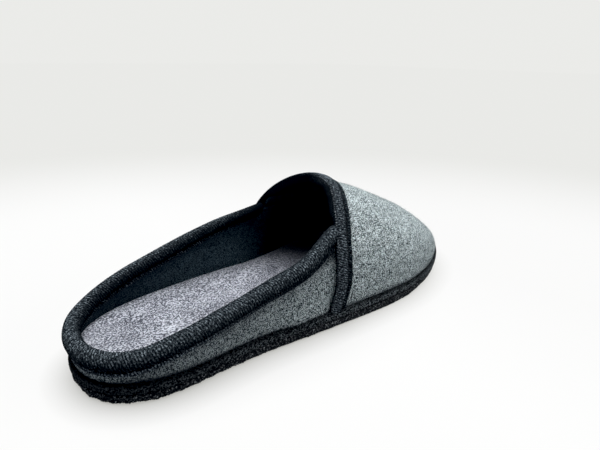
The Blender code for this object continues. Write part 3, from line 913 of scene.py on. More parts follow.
class NodeShapes:
    """Geometry Nodes trees for what repeats: ribs, stitches, hairs and crumbs."""

    # A shape of this radius is one unit wide, so that its scale is its size
    unit_radius: float = 0.5
    rib_middle: float = 0.5
    stitch_rounds: int = 2
    hair_sides: int = 3
    hair_tilt: tuple[Place, Place] = ((-1.25, -1.25, 0.0), (1.25, 1.25, 6.28))
    hair_range: tuple[float, float] = (0.4, 1.3)
    grain_rounds: int = 1
    grain_range: tuple[Place, Place] = ((0.35, 0.35, 0.35), (1.0, 1.2, 0.9))

    def __init__(self) -> None:
        """Builds the trees."""
        self.ribs = self.rib_tree()
        self.stitches = self.stitch_tree()
        self.hairs = self.hair_tree()
        self.crumbs = self.crumb_tree()

    def start(self, name: str, sizes: dict[str, float]) -> tuple[Tree, Sockets]:
        """Starts a tree that takes a shape, sizes and a material."""
        inputs = {"Geometry": Kind.SHAPE} | sizes | {"Material": Kind.MATERIAL}
        return new_group(name, GEOMETRY_TREE, inputs, {"Geometry": Kind.SHAPE})

    def finish(self, group: Tree, shape: Socket, given: Sockets) -> NodeTree:
        """Ends a tree: real meshes, smooth faces and one material.

        Args:
            group: the tree.
            shape: what it has made.
            given: its inputs.

        Returns:
            The finished tree.
        """
        real = group.add("GeometryNodeRealizeInstances", {"Geometry": shape}).outputs["Geometry"]
        smooth = group.add("GeometryNodeSetShadeSmooth", {"Geometry": real, "Shade Smooth": True})
        inputs = {"Geometry": smooth.outputs["Geometry"], "Material": given["Material"]}
        dressed = group.add("GeometryNodeSetMaterial", inputs)
        group.add("NodeGroupOutput", {"Geometry": dressed.outputs["Geometry"]})
        return group.tree

    def lay(
        self, group: Tree, given: Sockets, points: Socket, shape: Socket, turn: Socket, size: Socket
    ) -> NodeTree:
        """Lays a shape on points, each one turned and sized, and ends the tree."""
        laid = group.add(
            "GeometryNodeInstanceOnPoints",
            {"Points": points, "Instance": shape, "Rotation": turn, "Scale": size},
        )
        return self.finish(group, laid.outputs["Instances"], given)

    def scatter(self, group: Tree, given: Sockets) -> Sockets:
        """Spreads points over the faces that a tree is given."""
        inputs = {"Mesh": given["Geometry"], "Density": given["Density"], "Seed": given["Seed"]}
        return group.add("GeometryNodeDistributePointsOnFaces", inputs).outputs

    def random_place(self, group: Tree, given: Sockets, ends: tuple[Place, Place]) -> Socket:
        """A random vector between two others, for each point."""
        inputs = {0: ends[0], 1: ends[1], "Seed": given["Seed"]}
        return group.add("FunctionNodeRandomValue", inputs, data_type="FLOAT_VECTOR").outputs[0]

    def rib_tree(self) -> NodeTree:
        """Raises knitted ribs on a tape, by its own lengths along and across.

        Returns:
            The tree.
        """
        sizes = {"Pitch": 1.6, "Loop": 1.1, "Slant": -0.45, "Height": 0.0003}
        group, given = self.start("raise_ribs", sizes)
        values = []
        for mark in (Mark.ALONG, Mark.ACROSS, Mark.KNIT):
            node = group.add("GeometryNodeInputNamedAttribute", {"Name": mark.value}, data_type="FLOAT")
            values.append(node.outputs["Attribute"])
        along_tape, across_tape, knit = values
        place = group.add("GeometryNodeInputPosition").outputs["Position"]
        height = KnitLines().draw(group, along_tape, across_tape, place, given)[-1]
        lift = group.times(group.maths("SUBTRACT", height, self.rib_middle), knit)
        lift = group.times(lift, given["Height"])
        offset = group.stretched(group.add("GeometryNodeInputNormal").outputs["Normal"], lift)
        moved = group.add("GeometryNodeSetPosition", {"Geometry": given["Geometry"], "Offset": offset})
        return self.finish(group, moved.outputs["Geometry"], given)

    def stitch_tree(self) -> NodeTree:
        """Lays stitches along a line.

        Returns:
            The tree.
        """
        group, given = self.start("lay_stitches", {"Pitch": 0.003, "Length": 0.0022, "Thickness": 0.0007})
        line = group.add("GeometryNodeMeshToCurve", {"Mesh": given["Geometry"]}).outputs["Curve"]
        spot_inputs = {"Curve": line, "Length": given["Pitch"]}
        spots = group.add("GeometryNodeCurveToPoints", spot_inputs, mode="LENGTH").outputs
        bead_inputs = {"Radius": self.unit_radius, "Subdivisions": self.stitch_rounds}
        bead = group.add("GeometryNodeMeshIcoSphere", bead_inputs).outputs["Mesh"]
        turn = group.add("FunctionNodeAlignRotationToVector", {"Vector": spots["Tangent"]}, axis="X")
        size = group.vector(given["Length"], given["Thickness"], given["Thickness"])
        return self.lay(group, given, spots["Points"], bead, turn.outputs["Rotation"], size)

    def hair_tree(self) -> NodeTree:
        """Raises short loose hairs from a face.

        Returns:
            The tree.
        """
        sizes = {"Density": 1.0e6, "Length": 0.0015, "Thickness": 0.00006, "Seed": 3}
        group, given = self.start("raise_hairs", sizes)
        spots = self.scatter(group, given)
        cone_inputs = {"Vertices": self.hair_sides, "Radius Top": 0.0, "Radius Bottom": self.unit_radius}
        cone = group.add("GeometryNodeMeshCone", cone_inputs | {"Depth": 1.0}, fill_type="NONE")
        tilt = self.random_place(group, given, self.hair_tilt)
        turn_inputs = {"Rotation": spots["Rotation"], "Rotate By": tilt}
        turned = group.add("FunctionNodeRotateRotation", turn_inputs, rotation_space="LOCAL")
        size = group.vector(given["Thickness"], given["Thickness"], given["Length"])
        low, high = self.hair_range
        vary_inputs = {2: low, 3: high, "Seed": given["Seed"]}
        vary = group.add("FunctionNodeRandomValue", vary_inputs, data_type="FLOAT").outputs[1]
        hair, turn = cone.outputs["Mesh"], turned.outputs["Rotation"]
        return self.lay(group, given, spots["Points"], hair, turn, group.stretched(size, vary))

    def crumb_tree(self) -> NodeTree:
        """Scatters grains over a rough edge.

        Returns:
            The tree.
        """
        group, given = self.start("scatter_crumbs", {"Density": 3.0e5, "Size": 0.0014, "Seed": 5})
        spots = self.scatter(group, given)
        grain_inputs = {"Radius": self.unit_radius, "Subdivisions": self.grain_rounds}
        grain = group.add("GeometryNodeMeshIcoSphere", grain_inputs).outputs["Mesh"]
        size = group.stretched(self.random_place(group, given, self.grain_range), given["Size"])
        return self.lay(group, given, spots["Points"], grain, spots["Rotation"], size)


@dataclass(frozen=True)
class Stitch:
    """Sizes of a row's stitches, in millimetres, and their thread."""

    pitch: float
    length: float
    thickness: float
    thread: FeltFinish = THREAD


class Workshop:
    """Makes plain meshes and objects, and runs Geometry Nodes on them."""

    def __init__(self, last: Last) -> None:
        """Makes the shared groups and trees.

        Args:
            last: the form that the pieces are made on.
        """
        self.last = last
        self.patterns = Patterns()
        self.shapes = NodeShapes()
        self.collection = bpy.context.scene.collection

    def material(self, finish: Finish) -> Material:
        """The finish's material, built at its first use."""
        return bpy.data.materials.get(finish.name) or finish.material(self.patterns)

    def to_frame(self, points: Points) -> Points:
        """Moves millimetre points to the frame, in metres."""
        return (np.asarray(points, float).reshape(-1, 3) - (self.last.middle, 0.0, 0.0)) * MM

    def places(self, mesh: Mesh) -> Points:
        """Points of a mesh, in millimetres from behind the heel."""
        return np.array([v.co for v in mesh.vertices]) / MM + (self.last.middle, 0.0, 0.0)

    def grid(self, name: str, points: Points, closed: bool = False, ends: bool = False) -> Mesh:
        """Makes a mesh from a grid of points.

        Args:
            name: the mesh's name.
            points: rows of points, in millimetres.
            closed: joins the last point of a row to its first.
            ends: closes the first and the last row with a face.

        Returns:
            The mesh, in metres.
        """
        rows, columns = points.shape[:2]
        r, c = np.indices((rows - 1, columns if closed else columns - 1)).reshape(2, -1)
        d = (c + 1) % columns
        corners = (r * columns + c, r * columns + d, (r + 1) * columns + d, (r + 1) * columns + c)
        faces = list(map(tuple, np.stack(corners, axis=1).tolist()))
        if ends:
            faces += [tuple(range(columns)), tuple(range((rows - 1) * columns, rows * columns))]
        mesh = bpy.data.meshes.new(name)
        mesh.from_pydata(self.to_frame(points).tolist(), [], faces)
        return mesh

    def mark(self, mesh: Mesh, mark: Mark, values: Points) -> None:
        """Stores a value for each point of a mesh."""
        layer = mesh.attributes.new(mark.value, "FLOAT", "POINT")
        layer.data.foreach_set("value", np.ascontiguousarray(values, np.float32).ravel())

    @contextmanager
    def opened(self, mesh: Mesh) -> Iterator[bmesh.types.BMesh]:
        """Opens a mesh for edits, and turns its faces outwards when they are done.

        Args:
            mesh: the mesh.

        Returns:
            Its shape, to be edited.
        """
        shape = bmesh.new()
        shape.from_mesh(mesh)
        yield shape
        bmesh.ops.recalc_face_normals(shape, faces=shape.faces)
        shape.to_mesh(mesh)
        shape.free()

    def tidy(self, mesh: Mesh, merge: bool = True) -> Mesh:
        """Turns a mesh's faces outwards and smooths them.

        Args:
            mesh: the mesh.
            merge: merges doubled points and drops empty faces first.

        Returns:
            The same mesh.
        """
        with self.opened(mesh) as shape:
            if merge:
                bmesh.ops.remove_doubles(shape, verts=shape.verts, dist=MERGE_DISTANCE)
                bmesh.ops.dissolve_degenerate(shape, edges=shape.edges, dist=EMPTY_EDGE)
        mesh.shade_smooth()
        return mesh

    def place(self, name: str, mesh: Mesh, finish: Finish) -> Object:
        """Puts a mesh in the scene as a piece with one finish.

        Args:
            name: the piece's name.
            mesh: its mesh.
            finish: its finish.

        Returns:
            The piece.
        """
        obj = bpy.data.objects.new(name, mesh)
        mesh.materials.clear()
        mesh.materials.append(self.material(finish))
        self.collection.objects.link(obj)
        return obj

    def run_nodes(self, obj: Object, tree: NodeTree, sizes: dict[str, Value]) -> None:
        """Runs a Geometry Nodes tree on a piece and keeps the result as its mesh.

        Args:
            obj: the piece, whose material the tree sets again.
            tree: the tree.
            sizes: a value for each named size.
        """
        values = sizes | {"Material": obj.data.materials[0]}
        modifier = obj.modifiers.new("shape", "NODES")
        modifier.node_group = tree
        for item in tree.interface.items_tree:
            if item.in_out == "INPUT" and item.name in values:
                modifier[item.identifier] = values[item.name]
        self.apply(obj)

    def apply(self, obj: Object) -> None:
        """Turns an object's modifiers into its own mesh.

        Args:
            obj: the object.
        """
        graph = bpy.context.evaluated_depsgraph_get()
        graph.update()
        old = obj.data
        done = obj.evaluated_get(graph)
        mesh = bpy.data.meshes.new_from_object(done, preserve_all_data_layers=True, depsgraph=graph)
        obj.modifiers.clear()
        obj.data = mesh
        mesh.name = obj.name
        bpy.data.meshes.remove(old)

    def hand_over(self, obj: Object, finish: Finish, *nodes: str) -> None:
        """Fixes a piece to the body and hides the solids it stands for.

        Args:
            obj: the piece.
            finish: not used.
            *nodes: the solids.
        """
        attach(obj, BODY)
        if nodes:
            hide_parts(*nodes)
        LOG.info("%s: %d faces", obj.name, len(obj.data.polygons))

    def tape(
        self, name: str, points: Points, finish: KnitFinish, rib_height: float, marks: dict[Mark, Points]
    ) -> Object:
        """Makes a knitted tape with raised ribs.

        Args:
            name: the piece's name.
            points: sections along the tape, one row each, in millimetres.
            finish: its finish.
            rib_height: how high the ribs stand, in millimetres.
            marks: values for the points, as rows, columns or both.

        Returns:
            The piece.
        """
        mesh = self.grid(name, points, closed=True, ends=True)
        for mark, values in marks.items():
            self.mark(mesh, mark, np.broadcast_to(values, points.shape[:2]))
        obj = self.place(name, self.tidy(mesh, merge=False), finish)
        self.run_nodes(obj, self.shapes.ribs, finish.sizes() | {"Height": rib_height * MM})
        return obj

    def stitch_row(self, name: str, line: Points, stitch: Stitch) -> None:
        """Sews a row of stitches along a line.

        Args:
            name: the piece's name.
            line: points in millimetres.
            stitch: the stitches' sizes and thread.
        """
        mesh = bpy.data.meshes.new(name)
        mesh.from_pydata(self.to_frame(line).tolist(), [(i, i + 1) for i in range(len(line) - 1)], [])
        obj = self.place(name, mesh, stitch.thread)
        sizes = {"Pitch": stitch.pitch * MM, "Length": stitch.length * MM, "Thickness": stitch.thickness * MM}
        self.run_nodes(obj, self.shapes.stitches, sizes)
        self.hand_over(obj, stitch.thread)


@dataclass(frozen=True)
class Crease:
    """A soft fold in the felt, along a line from start to end."""

    start: Place
    end: Place
    width: float
    depth: float
    way: Way = Way.TROUGH

    def lift(self, points: Points) -> Points:
        """Finds how far the fold moves a felt.

        Args:
            points: points of the felt.

        Returns:
            How far each one moves along its normal, in millimetres.
        """
        start, end = np.asarray(self.start), np.asarray(self.end)
        run = end - start
        share = np.clip((points - start) @ run / (run @ run), 0.0, 1.0)
        off = np.linalg.norm(points - start - share[:, None] * run, axis=1)
        return self.way.value * self.depth * np.exp(-((off / self.width) ** 2))


@dataclass
class Upper:
    """The felt vamp over the toes, and the felt quarter round the heel."""

    shop: Workshop
    finish: FeltFinish
    vamp_columns: int = 120
    vamp_rows: int = 56
    quarter_step: float = 1.8
    quarter_rows: int = 26
    sharp_angle: float = 50.0
    # A point inside the foot, in metres
    heart: Place = (0.03, 0.0, 0.02)
    lump: float = 0.22
    lump_scale: float = 95.0
    hair_density: float = 0.9e6
    hair_length: float = 1.3
    hair_thickness: float = 0.07
    hair_seed: int = 3
    stitch_height: float = 0.3
    stitch: Stitch = Stitch(4.4, 2.9, 0.6)
    # Painted shade and light on the felt: how much it darkens or lightens, and how far from the place that
    # does it
    flange: float = 7.6
    flange_dark: float = 0.5
    flange_reach: float = 4.0
    flange_front_reach: float = 6.0
    heel_dark: float = 0.25
    heel_reach: float = 90.0
    side_dark: float = 0.49
    side_reach: float = 190.0
    back_reach: float = 25.0
    corner_dark: float = 0.3
    corner_reach: float = 10.0
    seam_dark: float = 0.75
    seam_reach: float = 1.4
    lap_light: float = 0.32
    lap_reach: float = 5.0
    rim_light: float = 0.04
    rim_start: float = 4.0
    lightest: float = 1.6
    # Columns: station, how light the painted shade leaves the felt's inner side
    inside_rows: Table = (
        (0.0, 0.07), (36.0, 0.12), (84.0, 0.2), (116.0, 0.2), (130.0, 0.12), (145.0, 0.05), (280.0, 0.04),
    )
    creases: tuple[Crease, ...] = (
        Crease((104.0, -40.5, 11.5), (125.0, -41.0, 11.5), 5.0, 1.5, Way.RIDGE),
        Crease((88.0, -40.0, 22.0), (112.0, -41.0, 33.0), 8.0, 0.9),
        Crease((104.0, -41.0, 18.0), (126.0, -43.0, 26.0), 6.0, 0.5, Way.RIDGE),
        Crease((52.0, -38.0, 19.0), (78.0, -39.0, 24.0), 6.0, 0.5, Way.RIDGE),
        Crease((62.0, 37.0, 24.0), (86.0, 37.0, 34.0), 5.0, 0.6),
        Crease((84.0, 38.0, 24.0), (106.0, 38.0, 36.0), 5.0, 0.5, Way.RIDGE),
        Crease((196.0, -34.0, 52.0), (206.0, 30.0, 54.0), 9.0, 0.5),
        Crease((236.0, -28.0, 34.0), (244.0, 26.0, 36.0), 8.0, 0.4, Way.RIDGE),
    )

    def build(self) -> None:
        """Makes both felts with their loose hairs, and sews the quarter to the sole."""
        for name, mesh in (("vamp_felt", self.vamp_mesh()), ("quarter_felt", self.quarter_mesh())):
            self.shape(mesh)
            obj = self.shop.place(name, mesh, self.finish)
            self.fuzz(name.replace("felt", "fuzz"), mesh.copy())
            self.thicken(obj)
            self.shop.hand_over(obj, self.finish, "upper")
        self.sew()

    def vamp_mesh(self) -> Mesh:
        """Makes the vamp's outer face, both sides joined along the crest.

        Returns:
            The open face.
        """
        last = self.shop.last
        shares = np.linspace(float(last.share_at(last.vamp_seam)), 1.0, self.vamp_columns)
        turns = np.linspace(0.0, QUARTER_TURN, self.vamp_rows)
        turns = np.concatenate((turns, turns[-2::-1]))
        side = np.where(np.arange(len(turns)) < self.vamp_rows, Side.OUTER.value, Side.INNER.value)
        points = last.vamp(side[:, None], shares[None, :], turns[:, None])
        return self.shop.tidy(self.shop.grid("vamp_felt", points))

    def quarter_mesh(self) -> Mesh:
        """Makes the quarter's outer face, from the outer side round the heel to the inner side.

        Returns:
            The open face.
        """
        last = self.shop.last
        side, share = split(last.round_heel(last.vamp_seam + last.lap_length, self.quarter_step))
        top = last.topline(side, last.plan(side, share)[:, 0])
        up = np.linspace(0.0, 1.0, self.quarter_rows)[:, None]
        points = last.quarter(side[None, :], share[None, :], between(last.wall_foot, top[None, :], up))
        return self.shop.tidy(self.shop.grid("quarter_felt", points))

    def shape(self, mesh: Mesh) -> None:
        """Presses the creases and small lumps into a felt, and paints shade on it.

        Args:
            mesh: the felt's open face.
        """
        places = self.shop.places(mesh)
        normals = np.array([v.normal for v in mesh.vertices])
        lift = sum(crease.lift(places) for crease in self.creases)
        lumps = np.array([noise.noise(v.co * self.lump_scale) for v in mesh.vertices])
        moved = places + normals * (lift + lumps * self.lump)[:, None]
        mesh.vertices.foreach_set("co", self.shop.to_frame(moved).ravel())
        mesh.update()
        self.shop.mark(mesh, Mark.SHADE, self.shade(places))

    def shade(self, places: Points) -> Points:
        """Works out the felt's painted shade and light: darker at seams, under the collar and along the side.

        Args:
            places: points in millimetres.

        Returns:
            A share of full light for each point.
        """
        last = self.shop.last
        x, y, z = places.T
        side, _ = split(y)
        foot = np.maximum(0.0, z - last.wall_foot - last.spring(x))
        below = last.topline(side, x) - self.flange - z
        under = np.maximum(0.0, below)
        seam = self.seam_dark * np.exp(-foot / self.seam_reach)
        flange = between(self.heel_dark, self.flange_dark, ease(x / self.heel_reach))
        reach = between(self.flange_reach, self.flange_front_reach, ease(x / last.vamp_seam))
        corner = self.corner_dark * ease((x - last.vamp_seam + self.corner_reach) / self.corner_reach)
        flange = flange * np.exp(-under / reach) + corner * np.exp(-under)
        flank = self.side_dark * (1.0 - ease(x / self.side_reach)) * ease(x / self.back_reach)
        lap = np.exp(-np.maximum(0.0, last.vamp_seam - x) / self.lap_reach)
        light = self.lap_light * lap * ease(below / self.flange)
        dark = seam + np.where(x < last.vamp_seam, flange + flank - light, 0.0)
        return np.clip(1.0 - dark, 0.0, self.lightest)

    def fuzz(self, name: str, mesh: Mesh) -> None:
        """Raises loose hairs from a felt's outer face.

        Args:
            name: the piece's name.
            mesh: a copy of the face.
        """
        self.face_out(mesh)
        obj = self.shop.place(name, mesh, self.finish)
        sizes = {"Length": self.hair_length * MM, "Thickness": self.hair_thickness * MM}
        sizes |= {"Density": self.hair_density, "Seed": self.hair_seed}
        self.shop.run_nodes(obj, self.shop.shapes.hairs, sizes)
        self.shop.hand_over(obj, self.finish)

    def thicken(self, obj: Object) -> None:
        """Gives a face the felt's thickness, inwards, and paints shade on its inner side and its cut edges.

        Args:
            obj: the felt.
        """
        self.face_out(obj.data)
        wall = obj.modifiers.new("felt", "SOLIDIFY")
        wall.thickness = self.shop.last.felt * MM
        wall.offset = -1.0
        wall.use_even_offset = True
        outside = len(obj.data.vertices)
        rim = self.rim(obj.data)
        self.shop.apply(obj)
        shades = np.zeros(len(obj.data.vertices), np.float32)
        layer = obj.data.attributes[Mark.SHADE.value].data
        layer.foreach_get("value", shades)
        # Painted shade on the inner side, and on the cut edges that show
        shades[outside:] *= straight(self.inside_rows, self.shop.places(obj.data)[outside:, 0])
        shades[:outside][rim] *= self.rim_light
        layer.foreach_set("value", shades)
        self.shop.mark(obj.data, Mark.INSIDE, np.arange(len(shades)) >= outside)
        obj.data.set_sharp_from_angle(angle=math.radians(self.sharp_angle))

    def rim(self, mesh: Mesh) -> Points:
        """Finds the points on a felt's cut edges, which the tapes cover.

        Args:
            mesh: the felt's open face.

        Returns:
            A flag for each point.
        """
        uses = np.zeros(len(mesh.loops), np.int32)
        ends = np.zeros(2 * len(mesh.edges), np.int32)
        mesh.loops.foreach_get("edge_index", uses)
        mesh.edges.foreach_get("vertices", ends)
        cut = np.bincount(uses, minlength=len(mesh.edges)) == 1
        rim = np.zeros(len(mesh.vertices), bool)
        rim[ends.reshape(-1, 2)[cut].ravel()] = True
        return rim & (self.shop.places(mesh)[:, 2] > self.shop.last.wall_foot + self.rim_start)

    def face_out(self, mesh: Mesh) -> None:
        """Turns an open face so that it points away from the foot.

        Args:
            mesh: the face.
        """
        away = np.array([p.center for p in mesh.polygons]) - self.heart
        normals = np.array([p.normal for p in mesh.polygons])
        areas = np.array([p.area for p in mesh.polygons])
        if (np.einsum("ij,ij->i", normals, away) * areas).sum() < 0:
            mesh.flip_normals()

    def sew(self) -> None:
        """Sews the quarter to the sole."""
        last = self.shop.last
        side, share = split(last.round_heel(last.vamp_seam, self.quarter_step))
        line = last.quarter(side, share, last.wall_foot + self.stitch_height)
        lift = sum(crease.lift(line) for crease in self.creases)
        line[:, :2] += last.outward(side, share) * lift[:, None]
        self.shop.stitch_row("foot_stitches", line, self.stitch)


@dataclass
class CollarBinding:
    """Knitted tape rolled over the quarter's top edge, with a flat flange down each side."""

    shop: Workshop
    finish: KnitFinish
    step: float = 0.27
    corner_steps: int = 3
    lip: float = 2.6
    slot_half_width: float = 1.95
    slot_headroom: float = 0.9
    # Ribs: their height, and how much of it the flanges have
    rib_height: float = 0.36
    rib_foot: float = -5.0
    flange_ribs: float = 0.5
    # The roll's size along the tape, and its soft waves
    size: float = 0.965
    near_scale: float = 1.04
    far_scale: float = 0.88
    end_scale_length: float = 70.0
    inner_slim: float = 0.09
    inner_slim_start: float = 80.0
    roll_half_width: float = 4.7
    roll_start: float = 0.1
    wave: float = 0.22
    wave_length: float = 34.0
    second_wave: float = 0.6
    second_rate: float = 1.73
    second_start: float = 1.1
    end_lift: float = 4.0
    end_lift_length: float = 24.0
    # The flanges: deeper at the heel outside, clear of the insole inside
    flange_drop: float = -7.6
    flange_start: float = -3.0
    heel_drop: float = 1.2
    heel_reach: float = 75.0
    insole_top: float = 17.3
    # Painted shade: at the far end, on the front part of the flange and on the inner side
    far_end: float = 34.0
    far_shade: float = 0.02
    groove: float = -4.8
    flange_dark: float = 0.75
    flange_front: float = 35.0
    flange_fade: float = 60.0
    inner_dark: float = 0.7
    inner_from: float = 2.0
    inner_far: float = 0.2
    inner_width: float = 5.0
    # The seam in the groove between roll and flange
    seam_step: float = 2.0
    seam_out: float = 2.75
    seam_up: float = -5.35
    stitch: Stitch = Stitch(3.2, 2.3, 0.75)
    # Columns: out from the felt's middle, up from its top edge
    half_section: Table = (
        (2.3, -7.6), (2.95, -7.5), (3.2, -6.8), (3.05, -5.9), (2.45, -5.3), (3.3, -4.75), (4.4, -3.9),
        (4.8, -2.5), (4.65, -0.7), (3.9, 1.3), (2.3, 3.0), (0.0, 3.6),
    )
    # Columns: up from the felt's top edge, how light the painted shade leaves the knit there
    shade_rows: Table = (
        (-8.0, 1.2), (-5.6, 1.2), (-5.2, 0.1), (-4.4, 0.12), (-2.6, 0.2), (-0.5, 0.44), (1.0, 0.7),
        (4.0, 0.95),
    )

    def build(self) -> None:
        """Makes the tape and sews its flange."""
        last = self.shop.last
        signed = last.round_heel(last.vamp_seam - self.lip - 2 * last.gap, self.step)
        half = np.asarray(self.half_section)
        outline = rounded(np.vstack((half, half[-2::-1] * (-1.0, 1.0))), self.corner_steps)
        width, head, foot = self.slot_half_width, self.slot_headroom, self.flange_drop
        slot = np.array(((-width, foot), (-width, head), (width, head), (width, foot)))
        run = lengths(last.collar(signed, 0.0, 0.0))
        points = last.collar(signed[:, None], *self.sized(signed, run, np.vstack((outline, slot))))
        plain = np.zeros(len(slot))
        marks = {
            Mark.ALONG: run[:, None],
            Mark.ACROSS: np.concatenate((lengths(outline), plain)),
            Mark.KNIT: np.concatenate((self.ribbed(outline), plain)),
            Mark.SHADE: np.pad(self.shade(run, outline), ((0, 0), (0, len(slot)))),
        }
        obj = self.shop.tape("collar_tape", points, self.finish, self.rib_height, marks)
        self.shop.hand_over(obj, self.finish, "collar_binding")
        self.sew(signed)

    def ribbed(self, outline: Points) -> Points:
        """How strongly the ribs stand up round the section: fully on the roll, less on the flanges."""
        return np.where(outline[:, 1] < self.rib_foot, self.flange_ribs, 1.0)

    def shade(self, run: Points, outline: Points) -> Points:
        """Works out the knit's painted shade and light.

        Args:
            run: distance along the tape.
            outline: the section's outer line.

        Returns:
            A share of full light round the section, one row for each place along the tape.
        """
        out, up = outline.T
        to_far = ease((run - self.inner_slim_start) / self.end_scale_length)
        start = between(self.inner_from, self.inner_far, to_far)[:, None]
        within = 1.0 - self.inner_dark * ease((start - out) / self.inner_width)
        light = straight(self.shade_rows, up) * within
        front = self.flange_dark * (1.0 - ease((run - self.flange_front) / self.flange_fade))
        light = np.where((up < self.groove) & (out > 0.0), light * (1.0 - front)[:, None], light)
        fade = between(self.far_shade, 1.0, ease((run[-1] - run) / self.far_end))
        return light * fade[:, None]

    def sized(self, signed: Points, run: Points, section: Points) -> tuple[Points, Points]:
        """Fits the section to each place: a softly uneven roll, and an inner flange clear of the insole.

        Args:
            signed: signed share of the plan.
            run: distance along the tape.
            section: points across it.

        Returns:
            Distances out and up, one row for each place.
        """
        last = self.shop.last
        side, share = split(signed)
        x = last.plan(side, share)[:, 0]
        drop = np.maximum(self.flange_drop, self.insole_top + last.gap - last.topline(side, x))
        out, up = (np.broadcast_to(column, (len(signed), len(section))) for column in section.T)
        fall = self.flange_drop - self.flange_start
        shorter = ((drop - self.flange_start) / fall)[:, None]
        longer = (1.0 - self.heel_drop * (1.0 - ease(x / self.heel_reach)) / fall)[:, None]
        fitted = self.flange_start + (up - self.flange_start) * np.where(out < 0, shorter, longer)
        up = np.where(up < self.flange_start, fitted, up)
        turn = run[:, None] / self.wave_length * TURN
        waves = np.sin(turn) + self.second_wave * np.sin(turn * self.second_rate + self.second_start)
        swell = 1.0 + self.wave / (2 * self.roll_half_width) * waves
        near = 1.0 - ease(run / self.end_scale_length)
        far = 1.0 - ease((run[-1] - run) / self.end_scale_length)
        slim = self.inner_slim * ease((run - self.inner_slim_start) / self.end_scale_length)
        scale = self.size + (self.near_scale - 1.0) * near + (self.far_scale - 1.0) * far - slim
        scale = scale[:, None]
        out = np.where(np.abs(out) > self.slot_half_width + self.roll_start, out * swell * scale, out)
        lift = self.end_lift * np.clip(1.0 - run / self.end_lift_length, 0.0, 1.0) ** 2
        return out, up * scale + lift[:, None]

    def sew(self, signed: Points) -> None:
        """Sews the groove between roll and flange."""
        line = self.shop.last.collar(signed[:: int(self.seam_step / self.step)], self.seam_out, self.seam_up)
        self.shop.stitch_row("collar_stitches", line, self.stitch)


@dataclass(frozen=True)
class Seam:
    """A row of stitches on the vamp tape, with its start and end as turns up the vamp and down again."""

    name: str
    start: float
    end: float
    ahead: float
    lift: float
    stitch: Stitch


